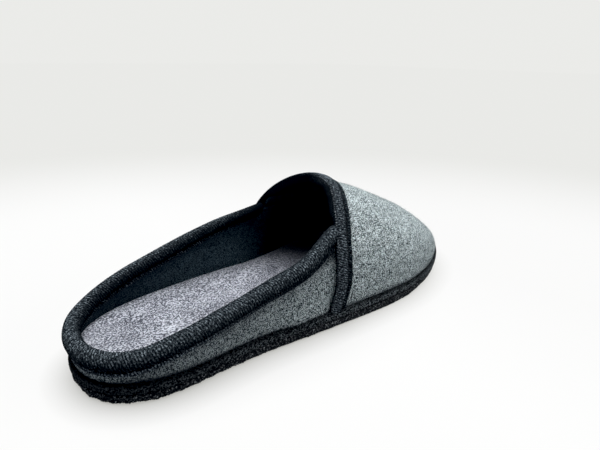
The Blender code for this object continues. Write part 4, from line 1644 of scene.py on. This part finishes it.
@dataclass
class VampBinding:
    """Knitted tape folded round the vamp's back edge, from the sole over the instep to the sole."""

    shop: Workshop
    finish: KnitFinish
    step: float = 0.27
    corner_steps: int = 3
    rib_height: float = 0.24
    # The fold behind the edge, and the strip that it becomes on the inner face
    lip: float = 2.6
    lip_depth: float = 1.5
    fold_rise: float = 0.7
    fold_corner: float = 2.3
    fold_corner_rise: float = 0.3
    fold_foot: float = 1.6
    inner_thin: float = 0.2
    inner_thick: float = 1.2
    inner_start: float = 0.6
    inner_width: float = 8.0
    inner_from_height: float = 63.0
    inner_full_height: float = 71.0
    inner_ribs: float = 0.3
    # Painted shade on the strip over the inner face
    inner_shade: float = 0.02
    # How much wider and thicker the tape is over the instep, and how far its foot bends back
    instep_wide: float = 0.12
    instep_thick: float = 0.25
    face_lift: float = 0.55
    foot_back: float = 2.4
    foot_reach: float = 0.22
    # Where the tape changes, as a way up the vamp and down again: from side to instep, and beyond it
    instep_from: float = 0.55
    instep_to: float = 0.8
    beyond_from: float = 1.46
    beyond_to: float = 1.74
    # Painted highlight over the instep's crest: how strong, where along the way, and how wide
    crest_highlight: float = 0.8
    crest_highlight_at: float = 1.45
    crest_highlight_width: float = 0.2
    # Columns: ahead of the vamp's edge, off its face
    top_section: Table = (
        (8.2, 0.35), (8.2, 0.9), (7.9, 1.3), (7.3, 1.35), (6.8, 1.1), (6.3, 0.7), (5.4, 0.6), (4.7, 0.9),
        (4.2, 1.6), (3.7, 2.2), (2.8, 2.55), (1.4, 2.65), (0.0, 2.55), (-0.8, 2.35), (-1.5, 1.9),
        (-2.2, 1.3), (-2.6, 0.5),
    )
    # Columns: ahead of the vamp's edge, the knit's painted light at the side, near the instep and beyond it
    shade_rows: Table = (
        (-2.6, 0.9, 0.15, 0.0), (-2.2, 1.05, 0.3, 0.0), (-1.7, 1.08, 0.6, 0.0), (-1.1, 1.08, 0.88, 0.1),
        (-0.8, 1.08, 0.85, 0.4), (-0.3, 1.08, 0.85, 1.9), (1.0, 1.05, 0.8, 2.1), (2.4, 1.05, 0.75, 1.8),
        (2.9, 0.8, 0.6, 1.4), (3.3, 0.3, 0.6, 1.0), (3.9, 0.25, 0.2, 0.1), (6.5, 0.4, 0.3, 0.1),
        (6.9, 0.4, 0.5, 0.7), (7.9, 0.5, 0.6, 0.7), (8.2, 0.4, 0.4, 0.3),
    )
    seam_step: float = 2.0
    seam_margin: int = 4
    seams: tuple[Seam, ...] = (
        Seam("front", 0.0, 2 * QUARTER_TURN, 5.6, 0.75, Stitch(2.6, 2.0, 0.6)),
        Seam("back", 0.0, QUARTER_TURN, -2.3, 1.3, Stitch(1.7, 1.0, 0.5, PALE_THREAD)),
        # The far half of the back row uses the dark thread as painted shade for the pale thread
        Seam("far", QUARTER_TURN, 2 * QUARTER_TURN, -2.3, 1.3, Stitch(1.7, 1.0, 0.5)),
    )

    def build(self) -> None:
        """Makes the tape and sews its two grooves."""
        way = even_spread(self.edge_at, 0.0, 2 * QUARTER_TURN, self.step)
        side, turn = self.side_and_turn(way)
        edge = self.edge_at(way)
        wrap = (edge[:, 2] - self.inner_from_height) / (self.inner_full_height - self.inner_from_height)
        ahead, lift = self.section(np.clip(wrap, 0.0, 1.0))
        wide = np.where(ahead > 0.0, ahead * self.widen(turn)[:, None], ahead) - self.back(turn)[:, None]
        thick = np.where(lift > self.face_lift, lift * self.raised(turn)[:, None], lift)
        points = self.on_vamp(side[:, None], turn[:, None], wide, thick)
        first = np.stack((ahead[0], lift[0]), axis=1)
        on_top = np.arange(len(first)) <= (len(self.top_section) - 1) * self.corner_steps
        marks = {
            Mark.ALONG: lengths(edge)[:, None],
            Mark.ACROSS: lengths(first),
            Mark.KNIT: np.where(on_top, 1.0, self.inner_ribs),
            Mark.SHADE: np.where(on_top, self.shade(way, first[:, 0]), self.inner_shade),
        }
        obj = self.shop.tape("vamp_tape", points, self.finish, self.rib_height, marks)
        self.shop.hand_over(obj, self.finish, "vamp_binding")
        self.sew(way)

    def shade(self, way: Points, ahead: Points) -> Points:
        """Works out the knit's painted shade and light, with a painted highlight over the instep's crest.

        Args:
            way: way from sole to sole, as a turn up the vamp and down again.
            ahead: distance ahead of the vamp's edge, across the tape.

        Returns:
            A share of full light across the tape, one row for each place along it.
        """
        low, high, beyond = (straight(self.shade_rows, ahead, column)[None, :] for column in (1, 2, 3))
        past = ease((way - self.beyond_from) / (self.beyond_to - self.beyond_from))[:, None]
        painted_tone = 1.0 + self.crest_highlight * np.exp(-(((way - self.crest_highlight_at) / self.crest_highlight_width) ** 2))
        return between(between(low, high, self.instep(way)[:, None]), beyond, past) * painted_tone[:, None]

    def instep(self, way: Points) -> Points:
        """How far the tape has come from the side to the instep, from 0 to 1."""
        return ease((way - self.instep_from) / (self.instep_to - self.instep_from))

    def widen(self, turn: Points) -> Points:
        """How much wider the tape's front part is towards the instep."""
        return 1.0 + self.instep_wide * self.instep(turn)

    def raised(self, turn: Points) -> Points:
        """How much thicker the tape is over the instep."""
        return 1.0 + self.instep_thick * ease((turn - self.instep_to) / (QUARTER_TURN - self.instep_to))

    def back(self, turn: Points) -> Points:
        """How far the tape's foot bends back towards the heel."""
        return self.foot_back * (1.0 - ease(turn / self.foot_reach))

    def side_and_turn(self, way: Points) -> tuple[Points, Points]:
        """Side of the foot and turn up the vamp, on a way from sole to sole."""
        turn = np.where(way <= QUARTER_TURN, way, 2 * QUARTER_TURN - way)
        return np.where(way <= QUARTER_TURN, Side.OUTER.value, Side.INNER.value), turn

    def edge_at(self, way: Points) -> Points:
        """Points of the vamp's back edge."""
        side, turn = self.side_and_turn(way)
        return self.shop.last.vamp_ahead(side, np.zeros(len(way)), turn)

    def section(self, wrap: Points) -> tuple[Points, Points]:
        """Works out the tape's section along its way.

        Args:
            wrap: 0 where the fold ends behind the edge, 1 where it runs on over the inner face.

        Returns:
            Distances ahead of the edge and off the face, one row for each place.
        """
        gap, felt = self.shop.last.gap, self.shop.last.felt
        depth = np.minimum(1.0, 2 * wrap)
        length = np.maximum(0.0, 2 * wrap - 1)
        inner = -self.lip_depth - depth * (felt + 2 * gap - self.lip_depth)
        inner_low = inner - between(self.inner_thin, self.inner_thick, depth)
        inner_end = length * self.inner_width - self.inner_start
        top = rounded(self.top_section, self.corner_steps)
        under = (
            (-self.lip, inner + self.fold_rise),
            (-self.fold_corner, inner_low + self.fold_corner_rise),
            (-self.fold_foot, inner_low),
            (inner_end, inner_low),
            (inner_end, inner),
            (-gap, inner),
            (-gap, gap),
        )
        columns = [*map(tuple, top), *under]
        ahead, lift = ([np.broadcast_to(value, len(wrap)) for value in row] for row in zip(*columns))
        return np.stack(ahead, axis=1), np.stack(lift, axis=1)

    def on_vamp(self, side: Points, turn: Points, ahead: Points, lift: Points) -> Points:
        """Finds points on the vamp's face, and straight on behind its edge.

        Args:
            side: -1 outside and 1 inside.
            turn: turn up the vamp.
            ahead: distance ahead of the edge.
            lift: distance off the face.

        Returns:
            Points in millimetres.
        """
        last = self.shop.last
        face = np.maximum(0.0, ahead)
        edge = last.vamp_ahead(side, np.zeros_like(ahead), turn)
        forward = unit(last.vamp_ahead(side, np.full_like(ahead, last.face_step), turn) - edge)
        place = last.vamp_ahead(side, face, turn) + forward * np.minimum(0.0, ahead)[..., None]
        return place + last.vamp_normal(side, face, turn) * lift[..., None]

    def sew(self, way: Points) -> None:
        """Sews the tape down along its front and its back groove."""
        way = way[self.seam_margin : -self.seam_margin : int(self.seam_step / self.step)]
        for seam in self.seams:
            side, turn = self.side_and_turn(way[(way >= seam.start) & (way <= seam.end)])
            ahead = seam.ahead * (self.widen(turn) if seam.ahead > 0.0 else np.ones(len(turn)))
            line = self.on_vamp(side, turn, ahead - self.back(turn), seam.lift * self.raised(turn))
            self.shop.stitch_row(f"vamp_stitches_{seam.name}", line, seam.stitch)


@dataclass
class Insole:
    """Pale felt footbed, raised under the arch and a little hollow under the heel."""

    shop: Workshop
    finish: FeltFinish
    foot: float = 11.1
    height: float = 6.2
    clearance: float = 0.7
    toe_inset: float = 7.0
    arch_rise: float = 1.8
    arch_outer_share: float = 0.25
    arch_start: float = 20.0
    arch_end: float = 200.0
    arch_ramp: float = 42.0
    edge_round: float = 0.9
    dish: float = 0.5
    # Painted shade: at the heel end and towards the toes
    heel_dark: float = 0.35
    heel_start: float = 4.0
    heel_reach: float = 26.0
    front_dark: float = 0.92
    front_start: float = 98.0
    front_reach: float = 85.0
    step: float = 2.0
    columns: int = 30
    sharp_angle: float = 60.0
    # Columns: share of the edge's rounding, how far the line lies below the top
    edge_rows: Table = (
        (0.0, 0.9), (0.12, 0.55), (0.45, 0.2), (0.9, 0.0),
    )

    def edge(self, side: Side, share: Points, inset: float) -> Points:
        """Finds points of the insole's edge, just inside the walls, the lapped seam and the toe.

        Args:
            side: side of the foot.
            share: share of the plan.
            inset: how much further in the points lie.

        Returns:
            Station and Y of each point.
        """
        last = self.shop.last
        x = last.plan(side.value, share)[..., 0]
        past = ease((x - last.vamp_seam - last.lap_length) / last.tuck_length)
        lap = last.lap_depth * last.tuck(x) * (1.0 - past)
        toe = self.toe_inset * ease((x - last.toe_cap) / (last.length - last.toe_cap))
        return last.edge(side.value, share, last.wall_inset + last.felt + self.clearance + lap + toe + inset)

    def arch(self, x: Points) -> Points:
        """How far the inner side is raised under the foot's arch."""
        start, end = (x - self.arch_start) / self.arch_ramp, (self.arch_end - x) / self.arch_ramp
        return self.arch_rise * ease(start) * ease(end)

    def lines(self) -> list[tuple[Points, float, float]]:
        """Draws the footbed's lines from heel to toe, from its outer foot over the top to its inner foot.

        Returns:
            The plan of each line, how far it lies below the top, and its share of the way across.
        """
        shares = self.shop.last.outer_shares(self.step)
        edges = ((0.0, self.height), *self.edge_rows)
        sides = []
        for across, side in enumerate(Side):
            places = [self.edge(side, shares, share * self.edge_round) for share, _ in edges]
            sides.append([(place, drop, float(across)) for place, (_, drop) in zip(places, edges)])
        outer, inner = sides
        right, left = outer[-1][0], inner[-1][0]
        middle = [(between(right, left, v), 0.0, v) for v in np.linspace(0.0, 1.0, self.columns)[1:-1]]
        return outer + middle + inner[::-1]

    def build(self) -> None:
        """Makes the footbed: a rounded top sheet over straight sides."""
        last = self.shop.last
        rows = []
        for place, drop, v in self.lines():
            x = place[:, 0]
            raised = self.arch(x) * between(self.arch_outer_share, 1.0, v) * (drop < self.height)
            hollow = self.dish * 4.0 * v * (1.0 - v)
            z = self.foot + self.height - drop + raised - hollow + last.spring(x)
            rows.append(np.column_stack((place, z)))
        mesh = self.shop.tidy(self.shop.grid("insole_felt", np.stack(rows)))
        with self.shop.opened(mesh) as shape:
            bmesh.ops.holes_fill(shape, edges=[e for e in shape.edges if e.is_boundary])
        mesh.set_sharp_from_angle(angle=math.radians(self.sharp_angle))
        stations = self.shop.places(mesh)[:, 0]
        # Painted shade: darker towards the toes under the vamp and at the heel end by the collar
        painted_tone = self.front_dark * ease((stations - self.front_start) / self.front_reach)
        painted_tone = painted_tone + self.heel_dark * (1.0 - ease((stations - self.heel_start) / self.heel_reach))
        self.shop.mark(mesh, Mark.SHADE, 1.0 - painted_tone)
        obj = self.shop.place("insole_felt", mesh, self.finish)
        self.shop.hand_over(obj, self.finish, "insole")


@dataclass
class SoleLayer:
    """One layer of the sole, with a rough cut side."""

    shop: Workshop
    finish: Finish
    node: str
    piece: str
    foot: float
    height: float
    rough: float
    rough_scale: float
    # Columns: share of the layer's height, how far its side lies inside the plan
    side_rows: Table
    # Columns: station, how much of that inset the side has there
    foot_rows: Table = ((0.0, 1.0), (280.0, 1.0))
    # Columns: share of the layer's height, how light the painted shade leaves its side
    shade_rows: Table = ((0.0, 1.0), (1.0, 1.0))
    # How light the painted shade leaves the side at the heel
    heel_light: float = 1.0
    smooth_front: float = 0.65
    smooth_reach: float = 120.0
    step: float = 0.9
    corner_steps: int = 3
    sharp_angle: float = 50.0
    # Layers of the roughness: how they weaken, how much finer each one is, and how many there are
    rough_layers: tuple[float, float, int] = (1.0, 2.0, 3)
    # Loose grains: none where their density is 0
    crumb_density: float = 0.0
    crumb_size: float = 0.75
    crumb_foot: float = 0.5
    crumb_top: float = 3.4
    crumb_seed: int = 5

    def build(self) -> None:
        """Makes the layer: loops up its side, and strips across its two faces."""
        last = self.shop.last
        side, share = last.loop(self.step)
        profile = rounded(self.side_rows, self.corner_steps)
        inset_share = along(self.foot_rows, last.plan(side, share)[:, 0], 1)
        rows = []
        for up, inset in profile:
            place = last.edge(side, share, inset * inset_share)
            rows.append(np.column_stack((place, self.foot + self.height * up + last.spring(place[:, 0]))))
        points = self.roughen(np.stack(rows), last.outward(side, share))
        mesh = self.shop.grid(self.piece, points, closed=True)
        with self.shop.opened(mesh) as shape:
            corners = list(shape.verts)
            self.cap(shape, corners[: len(side)], upwards=False)
            self.cap(shape, corners[-len(side) :], upwards=True)
        mesh.shade_smooth()
        mesh.set_sharp_from_angle(angle=math.radians(self.sharp_angle))
        # Painted shade on the side: by height from the shade rows, and darker towards the heel
        lit = between(self.heel_light, 1.0, ease(points[0, :, 0] / self.smooth_reach))
        self.shop.mark(mesh, Mark.SHADE, straight(self.shade_rows, profile[:, 0])[:, None] * lit)
        obj = self.shop.place(self.piece, mesh, self.finish)
        self.shop.hand_over(obj, self.finish, self.node)
        heights = profile[:, 0] * self.height
        if self.crumb_density > 0.0:
            self.scatter(points[(heights > self.crumb_foot) & (heights < self.crumb_top)])

    def roughen(self, points: Points, outward: Points) -> Points:
        """Makes the cut side uneven, in and out.

        Args:
            points: loops up the side, one row each.
            outward: unit vectors out of the plan, round the loop.

        Returns:
            The moved points.
        """
        moved = points.copy()
        for row in moved:
            bumps = [noise.fractal(Vector(place) * self.rough_scale, *self.rough_layers) for place in row]
            fade = 1.0 - self.smooth_front * ease(row[:, 0] / self.smooth_reach)
            row[:, :2] += outward * (np.array(bumps) * self.rough * fade)[:, None]
        return moved

    def cap(self, shape: bmesh.types.BMesh, loop: list[bmesh.types.BMVert], upwards: bool) -> None:
        """Closes a loop with strips that run across the foot."""
        for i in range(len(loop) // 2):
            corners = [loop[i], loop[i + 1], loop[-i - 1], loop[-i % len(loop)]]
            corners = list(dict.fromkeys(corners))
            shape.faces.new(corners if upwards else corners[::-1])

    def scatter(self, points: Points) -> None:
        """Scatters grains over the lower part of the side.

        Args:
            points: that part's loops, one row each.
        """
        name = f"{self.piece}_grains"
        obj = self.shop.place(name, self.shop.tidy(self.shop.grid(name, points, closed=True)), self.finish)
        sizes = {"Density": self.crumb_density, "Size": self.crumb_size * MM, "Seed": self.crumb_seed}
        self.shop.run_nodes(obj, self.shop.shapes.crumbs, sizes)
        self.shop.hand_over(obj, self.finish)


@dataclass(frozen=True)
class FloorFinish:
    """Finish of a pale floor that glows, less by the heel than by the toe, and fades at the back."""

    name: str = "pale_floor"
    # Where the fade is measured from, in metres, and where it starts and ends
    stand: Place = (-0.186, -0.206, 0.0)
    fade_start: float = 0.46
    fade_end: float = 0.82
    # How far along X the change from heel to toe takes
    toe_start: float = 0.0
    toe_end: float = 0.13
    heel_colour: Colour = (0.16, 0.16, 0.157)
    toe_colour: Colour = (0.05, 0.05, 0.049)
    far_colour: Colour = (0.0, 0.0, 0.0)
    heel_glow: Colour = (0.745, 0.743, 0.74)
    toe_glow: Colour = (0.885, 0.884, 0.881)
    far_glow: Colour = (0.82, 0.823, 0.803)
    # The soft shade where the slipper stands
    contact_reach: float = 0.016
    contact_samples: int = 16
    contact_start: float = 0.2
    heel_contact: Colour = (0.56, 0.56, 0.53)
    toe_contact: Colour = (0.82, 0.82, 0.8)
    no_contact: Colour = (1.0, 1.0, 1.0)
    # The light that the floor throws back on the slipper
    bounce_start: float = -0.2
    bounce_end: float = 0.1
    heel_bounce: Colour = (0.06, 0.07, 0.1)
    toe_bounce: Colour = (0.2, 0.2, 0.2)

    def material(self) -> Material:
        """Builds the finish.

        Returns:
            The material.
        """
        surface = Surface(self.name, 1.0, 0.0, self.far_glow, gloss=0.0)
        tree = surface.tree
        away = tree.add("ShaderNodeVectorMath", {0: surface.place, 1: self.stand}, operation="DISTANCE")
        far = tree.spread(away.outputs["Value"], self.fade_start, self.fade_end, way="SMOOTHSTEP")
        x = tree.add("ShaderNodeSeparateXYZ", {"Vector": surface.place}).outputs["X"]
        toe = tree.spread(x, self.toe_start, self.toe_end)
        colour = tree.mixed(toe, rgba(self.heel_colour), rgba(self.toe_colour))
        glow = tree.mixed(toe, rgba(self.heel_glow), rgba(self.toe_glow))
        glow = tree.mixed(far, glow, rgba(self.far_glow))
        hidden_inputs = {"Distance": self.contact_reach}
        hidden = tree.add("ShaderNodeAmbientOcclusion", hidden_inputs, samples=self.contact_samples)
        contact = tree.mixed(toe, rgba(self.heel_contact), rgba(self.toe_contact))
        free = tree.spread(hidden.outputs["AO"], self.contact_start, 1.0)
        glow = tree.mixed(1.0, glow, tree.mixed(free, contact, rgba(self.no_contact)), "MULTIPLY")
        by_heel = tree.spread(x, self.bounce_start, self.bounce_end)
        bounce = tree.mixed(by_heel, rgba(self.heel_bounce), rgba(self.toe_bounce))
        seen = tree.add("ShaderNodeLightPath").outputs["Is Camera Ray"]
        surface.set("Base Color", tree.mixed(far, colour, rgba(self.far_colour)))
        surface.set("Emission Color", tree.mixed(seen, bounce, glow))
        surface.set("Emission Strength", 1.0)
        return surface.material


@dataclass(frozen=True)
class Lamp:
    """A round soft lamp that points at the slipper, in metres and watts."""

    name: str
    place: Place
    size: float
    power: float

    def build(self) -> None:
        """Hangs the lamp in the scene."""
        lamp = bpy.data.lights.new(self.name, "AREA")
        lamp.shape = "DISK"
        lamp.size = self.size
        lamp.energy = self.power
        obj = bpy.data.objects.new(self.name, lamp)
        obj.location = self.place
        obj.rotation_mode = "QUATERNION"
        obj.rotation_quaternion = (-Vector(self.place)).to_track_quat("-Z", "Y")
        bpy.context.scene.collection.objects.link(obj)


@dataclass(frozen=True)
class Studio:
    """Pale floor, soft lamps, a dim room and the camera."""

    azimuth: float = 47.38
    elevation: float = 19.87
    roll: float = 1.09
    distance: float = 380.13
    target: Place = (195.52, 56.79, 21.6)
    focal_pixels: float = 472.84
    image_width: float = 600.0
    sensor: float = 36.0
    nearest: float = 0.01
    farthest: float = 50.0
    floor_size: float = 12.0
    floor_drop: float = 0.0001
    floor_finish: FloorFinish = FloorFinish()
    room_light: Colour = (0.075, 0.1, 0.125)
    room_seen: Colour = (0.83, 0.833, 0.813)
    black_level: Colour = (0.0045, 0.0045, 0.004)
    lamps: tuple[Lamp, ...] = (
        Lamp("key", (0.02, 0.12, 1.15), 1.2, 22.3),
        Lamp("right", (0.7, -1.25, 0.58), 0.9, 5.1),
        Lamp("front", (1.15, -0.7, 0.35), 0.7, 6.8),
        Lamp("left", (-1.1, -0.25, 0.2), 0.3, 1.4),
    )

    def build(self, last: Last) -> None:
        """Sets up floor, light and camera.

        Args:
            last: the slipper's form, whose stations place the camera.
        """
        self.floor()
        self.room()
        for lamp in self.lamps:
            lamp.build()
        self.camera(last)

    def floor(self) -> None:
        """Lays the floor, just under the sole."""
        mesh = bpy.data.meshes.new("floor")
        half = self.floor_size / 2
        corners = [(-half, -half, 0.0), (half, -half, 0.0), (half, half, 0.0), (-half, half, 0.0)]
        mesh.from_pydata(corners, [], [(0, 1, 2, 3)])
        mesh.materials.append(self.floor_finish.material())
        floor = bpy.data.objects.new("floor", mesh)
        bpy.context.scene.collection.objects.link(floor)
        floor.location.z = -self.floor_drop

    def room(self) -> None:
        """Gives the room its dim light and its pale look, and the picture its black level."""
        scene = bpy.context.scene
        scene.world = bpy.data.worlds.new("room")
        scene.world.use_nodes = True
        tree = Tree(scene.world.node_tree)
        seen = tree.add("ShaderNodeLightPath").outputs["Is Camera Ray"]
        colour = tree.mixed(seen, rgba(self.room_light), rgba(self.room_seen))
        tree.give(scene.world.node_tree.nodes["Background"].inputs["Color"], colour)
        scene.view_settings.view_transform = "Standard"
        scene.view_settings.use_curve_mapping = True
        scene.view_settings.curve_mapping.black_level = self.black_level

    def camera(self, last: Last) -> None:
        """Places the camera at the picture's angle, with its small roll.

        Args:
            last: the slipper's form, whose stations place the camera.
        """
        turn, tilt, roll = (math.radians(angle) for angle in (self.azimuth, self.elevation, self.roll))
        ahead = Vector((math.cos(turn) * math.cos(tilt), math.sin(turn) * math.cos(tilt), -math.sin(tilt)))
        right = ahead.cross(Vector((0.0, 0.0, 1.0))).normalized()
        up = right.cross(ahead)
        turned_right = right * math.cos(roll) + up * math.sin(roll)
        turned_up = up * math.cos(roll) - right * math.sin(roll)
        data = bpy.data.cameras.new("camera")
        data.sensor_width = self.sensor
        data.sensor_fit = "HORIZONTAL"
        data.lens = self.focal_pixels / self.image_width * self.sensor
        data.clip_start, data.clip_end = self.nearest, self.farthest
        obj = bpy.data.objects.new("camera", data)
        axes = Matrix((turned_right, turned_up, -ahead)).transposed().to_4x4()
        target = Vector(self.target) - Vector((last.middle, 0.0, 0.0))
        axes.translation = (target - ahead * self.distance) * MM
        obj.matrix_world = axes
        bpy.context.scene.collection.objects.link(obj)
        bpy.context.scene.camera = obj


def midsole(shop: Workshop) -> SoleLayer:
    """The black felt layer, with painted shade leaving it lighter along its middle and ahead of the heel."""
    return SoleLayer(
        shop, BLACK_FELT, "midsole", "midsole_felt", foot=5.45, height=5.3, rough=0.25, rough_scale=0.35,
        side_rows=((0.0, 1.0), (0.06, 0.5), (0.25, 0.1), (0.75, 0.0), (0.95, 0.15), (1.0, 0.5)),
        shade_rows=((0.0, 0.0), (0.12, 0.2), (0.3, 1.0), (0.78, 1.0), (0.9, 0.35), (1.0, 0.4)),
        heel_light=0.4,
    )


def outsole(shop: Workshop) -> SoleLayer:
    """The rubbery layer on the floor, with loose grains on its side."""
    return SoleLayer(
        shop, RUBBER, "outsole", "outsole_crumb", foot=0.0, height=5.1, rough=0.8, rough_scale=0.25,
        side_rows=(
            (0.0, 3.9), (0.06, 2.9), (0.12, 2.2), (0.25, 1.5), (0.45, 1.1), (0.65, 0.9), (0.9, 0.8),
            (1.0, 1.3),
        ),
        foot_rows=(
            (0.0, 0.85), (16.0, 0.9), (48.0, 1.35), (80.0, 0.85), (110.0, 0.75), (150.0, 0.5),
            (176.0, 0.3), (196.0, 0.6), (212.0, 1.1), (235.0, 1.2), (280.0, 1.4),
        ),
        crumb_density=1.4e6,
    )


def main() -> None:
    """Builds the slipper's pieces and its studio."""
    logging.basicConfig(level=logging.INFO, format="%(message)s")
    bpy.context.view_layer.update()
    shop = Workshop(Last())
    Upper(shop, GREY_FELT).build()
    CollarBinding(shop, KNIT_TAPE).build()
    VampBinding(shop, KNIT_TAPE).build()
    Insole(shop, PALE_FELT).build()
    midsole(shop).build()
    outsole(shop).build()
    Studio().build(shop.last)


if __name__ == "__main__":
    main()
